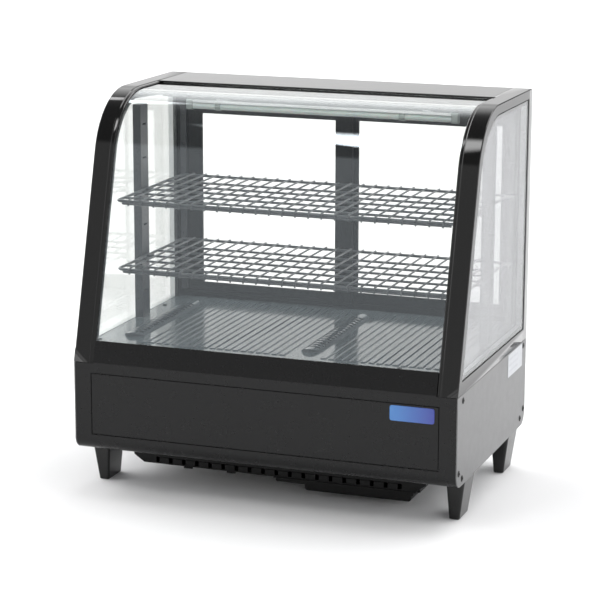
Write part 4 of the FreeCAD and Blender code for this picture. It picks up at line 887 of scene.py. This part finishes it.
class Surroundings(Graph):
    """World shader whose strength depends on the direction only."""

    def __init__(self, tree):
        super().__init__(tree)
        self.out = self.add("ShaderNodeOutputWorld")
        self.background = self.add("ShaderNodeBackground")
        split = self.add("ShaderNodeSeparateXYZ")
        self.link(self.add("ShaderNodeTexCoord").outputs["Generated"], split.inputs["Vector"])
        self.x, self.y, self.z = split.outputs["X"], split.outputs["Y"], split.outputs["Z"]
        height = self.math("MAXIMUM", self.z, 0.001)
        self.over_x, self.over_y = self.math("DIVIDE", self.x, height), self.math("DIVIDE", self.y, height)

    def times(self, a, b):
        return self.math("MULTIPLY", a, b)

    def rise(self, value, span, low, high):
        """Smooth change from low to high as the value crosses the span."""
        return self.remap(value, *span, low, high, True)

    def edge(self, value, place, border, low, high):
        return self.remap(value, place - border, place + border, low, high, True)

    def window(self, value, span, border):
        return self.times(self.edge(value, span[0], border, 0.0, 1.0),
                          self.edge(value, span[1], border, 1.0, 0.0))

    def overhead(self, x, y, skew, border, strength):
        """Bright panel above the case."""
        slope = self.times(self.math("SUBTRACT", self.over_x, x[0]), skew)
        front_side = self.math("SUBTRACT", self.over_y, slope)
        inside = self.times(self.window(self.over_x, x, border[0]),
                            self.times(self.edge(front_side, y[0], border[1], 0.0, 1.0),
                                       self.edge(self.over_y, y[1], border[1], 1.0, 0.0)))
        return self.times(self.times(inside, strength), self.math("GREATER_THAN", self.z, LOWEST_PANEL_Z))

    def rear(self):
        """Bright wall behind with a brighter screen on it and a dark flag before it."""
        wall = self.times(self.rise(self.z, REAR_FADE_Z, 1.0, CEILING_LEVEL),
                          self.rise(self.x, REAR_TURN_X, REAR_LEVEL, REAR_RIGHT_SHARE * REAR_LEVEL))
        screen = self.times(self.window(self.z, SCREEN_Z, SCREEN_BORDER),
                            self.rise(self.x, SCREEN_TURN_X, REAR_SCREEN, SCREEN_RIGHT))
        flag = self.times(self.window(self.x, FLAG_X, FLAG_X_BORDER),
                          self.window(self.z, FLAG_Z, FLAG_Z_BORDER))
        unshaded = self.math("SUBTRACT", 1.0, self.times(flag, REAR_FLAG))
        return self.times(self.math("ADD", wall, screen), unshaded)

    def sides(self):
        both = self.math("ADD", self.rise(self.x, RIGHT_SIDE_X, 0.0, SIDE_LEVEL),
                         self.rise(self.x, LEFT_SIDE_X, SIDE_LEVEL, 0.0))
        return self.times(both, self.rise(self.z, SIDE_RISE_Z, SIDE_LOW_SHARE, 1.0))

    def glow(self):
        """Low light behind and to the right, seen in the right side of the case."""
        place = self.times(self.window(self.x, GLOW_X, GLOW_BORDER), self.rise(self.y, GLOW_Y, 0.0, 1.0))
        return self.times(place, self.rise(self.z, GLOW_FADE_Z, REAR_GLOW, 0.0))


def studio_world():
    """Studio by direction: low pale front, dark ceiling with bright panels, bright rear and sides."""
    world = bpy.data.worlds.new("studio")
    bpy.context.scene.world = world
    world.use_nodes = True
    g = Surroundings(world.node_tree)
    front = g.edge(g.z, FRONT_TOP, FRONT_BORDER, FRONT_LEVEL, CEILING_LEVEL)
    behind = g.rise(g.y, REAR_START_Y, 0.0, 1.0)
    base = g.math("ADD", g.times(g.rear(), behind), g.times(front, g.math("SUBTRACT", 1.0, behind)))
    total = g.math("ADD", g.math("ADD", base, g.sides()), g.glow())
    for place in OVERHEAD_PANELS:
        total = g.math("ADD", total, g.overhead(**place))
    g.link(total, g.background.inputs["Strength"])
    g.background.inputs["Color"].default_value = (1, 1, 1, 1)
    g.link(g.background.outputs["Background"], g.out.inputs["Surface"])


FLOOR_HALF, FLOOR_CELLS = 42000.0, 14


def studio_floor():
    size, count = FLOOR_HALF, FLOOR_CELLS
    row = count + 1
    verts = [(-size + 2 * size * i / count, -size + 2 * size * j / count, 0.0)
             for j in range(row) for i in range(row)]
    faces = [(j * row + i, j * row + i + 1, (j + 1) * row + i + 1, (j + 1) * row + i)
             for j in range(count) for i in range(count)]
    mesh = mesh_from("studio_floor", verts, faces)
    floor = bpy.data.objects.new("studio_floor", mesh)
    bpy.context.scene.collection.objects.link(floor)
    mesh.materials.append(floor_paint())


studio_world()
studio_floor()


# ------------------------------------------------------------------ camera
CAMERA_PLACE, CAMERA_AIM, CAMERA_ROLL = (1.2923, -3.5646, 1.1791), (0.02346, -0.09762, 0.337), 0.15
SENSOR_WIDTH, LENS, NEAR_CLIP, FAR_CLIP = 36.0, 134.0, 0.1, 120.0


def studio_camera():
    data = bpy.data.cameras.new("studio_camera")
    data.sensor_width = SENSOR_WIDTH
    data.lens = LENS
    data.clip_start, data.clip_end = NEAR_CLIP, FAR_CLIP
    camera = bpy.data.objects.new("studio_camera", data)
    place, aim = Vector(CAMERA_PLACE), Vector(CAMERA_AIM)
    turn = (aim - place).to_track_quat("-Z", "Y").to_matrix().to_4x4()
    roll = Matrix.Rotation(math.radians(CAMERA_ROLL), 4, "Z")
    camera.matrix_world = Matrix.Translation(place) @ turn @ roll
    bpy.context.scene.collection.objects.link(camera)
    bpy.context.scene.camera = camera


studio_camera()
bpy.context.scene.view_settings.view_transform = "Standard"
bpy.context.scene.view_settings.look = "None"
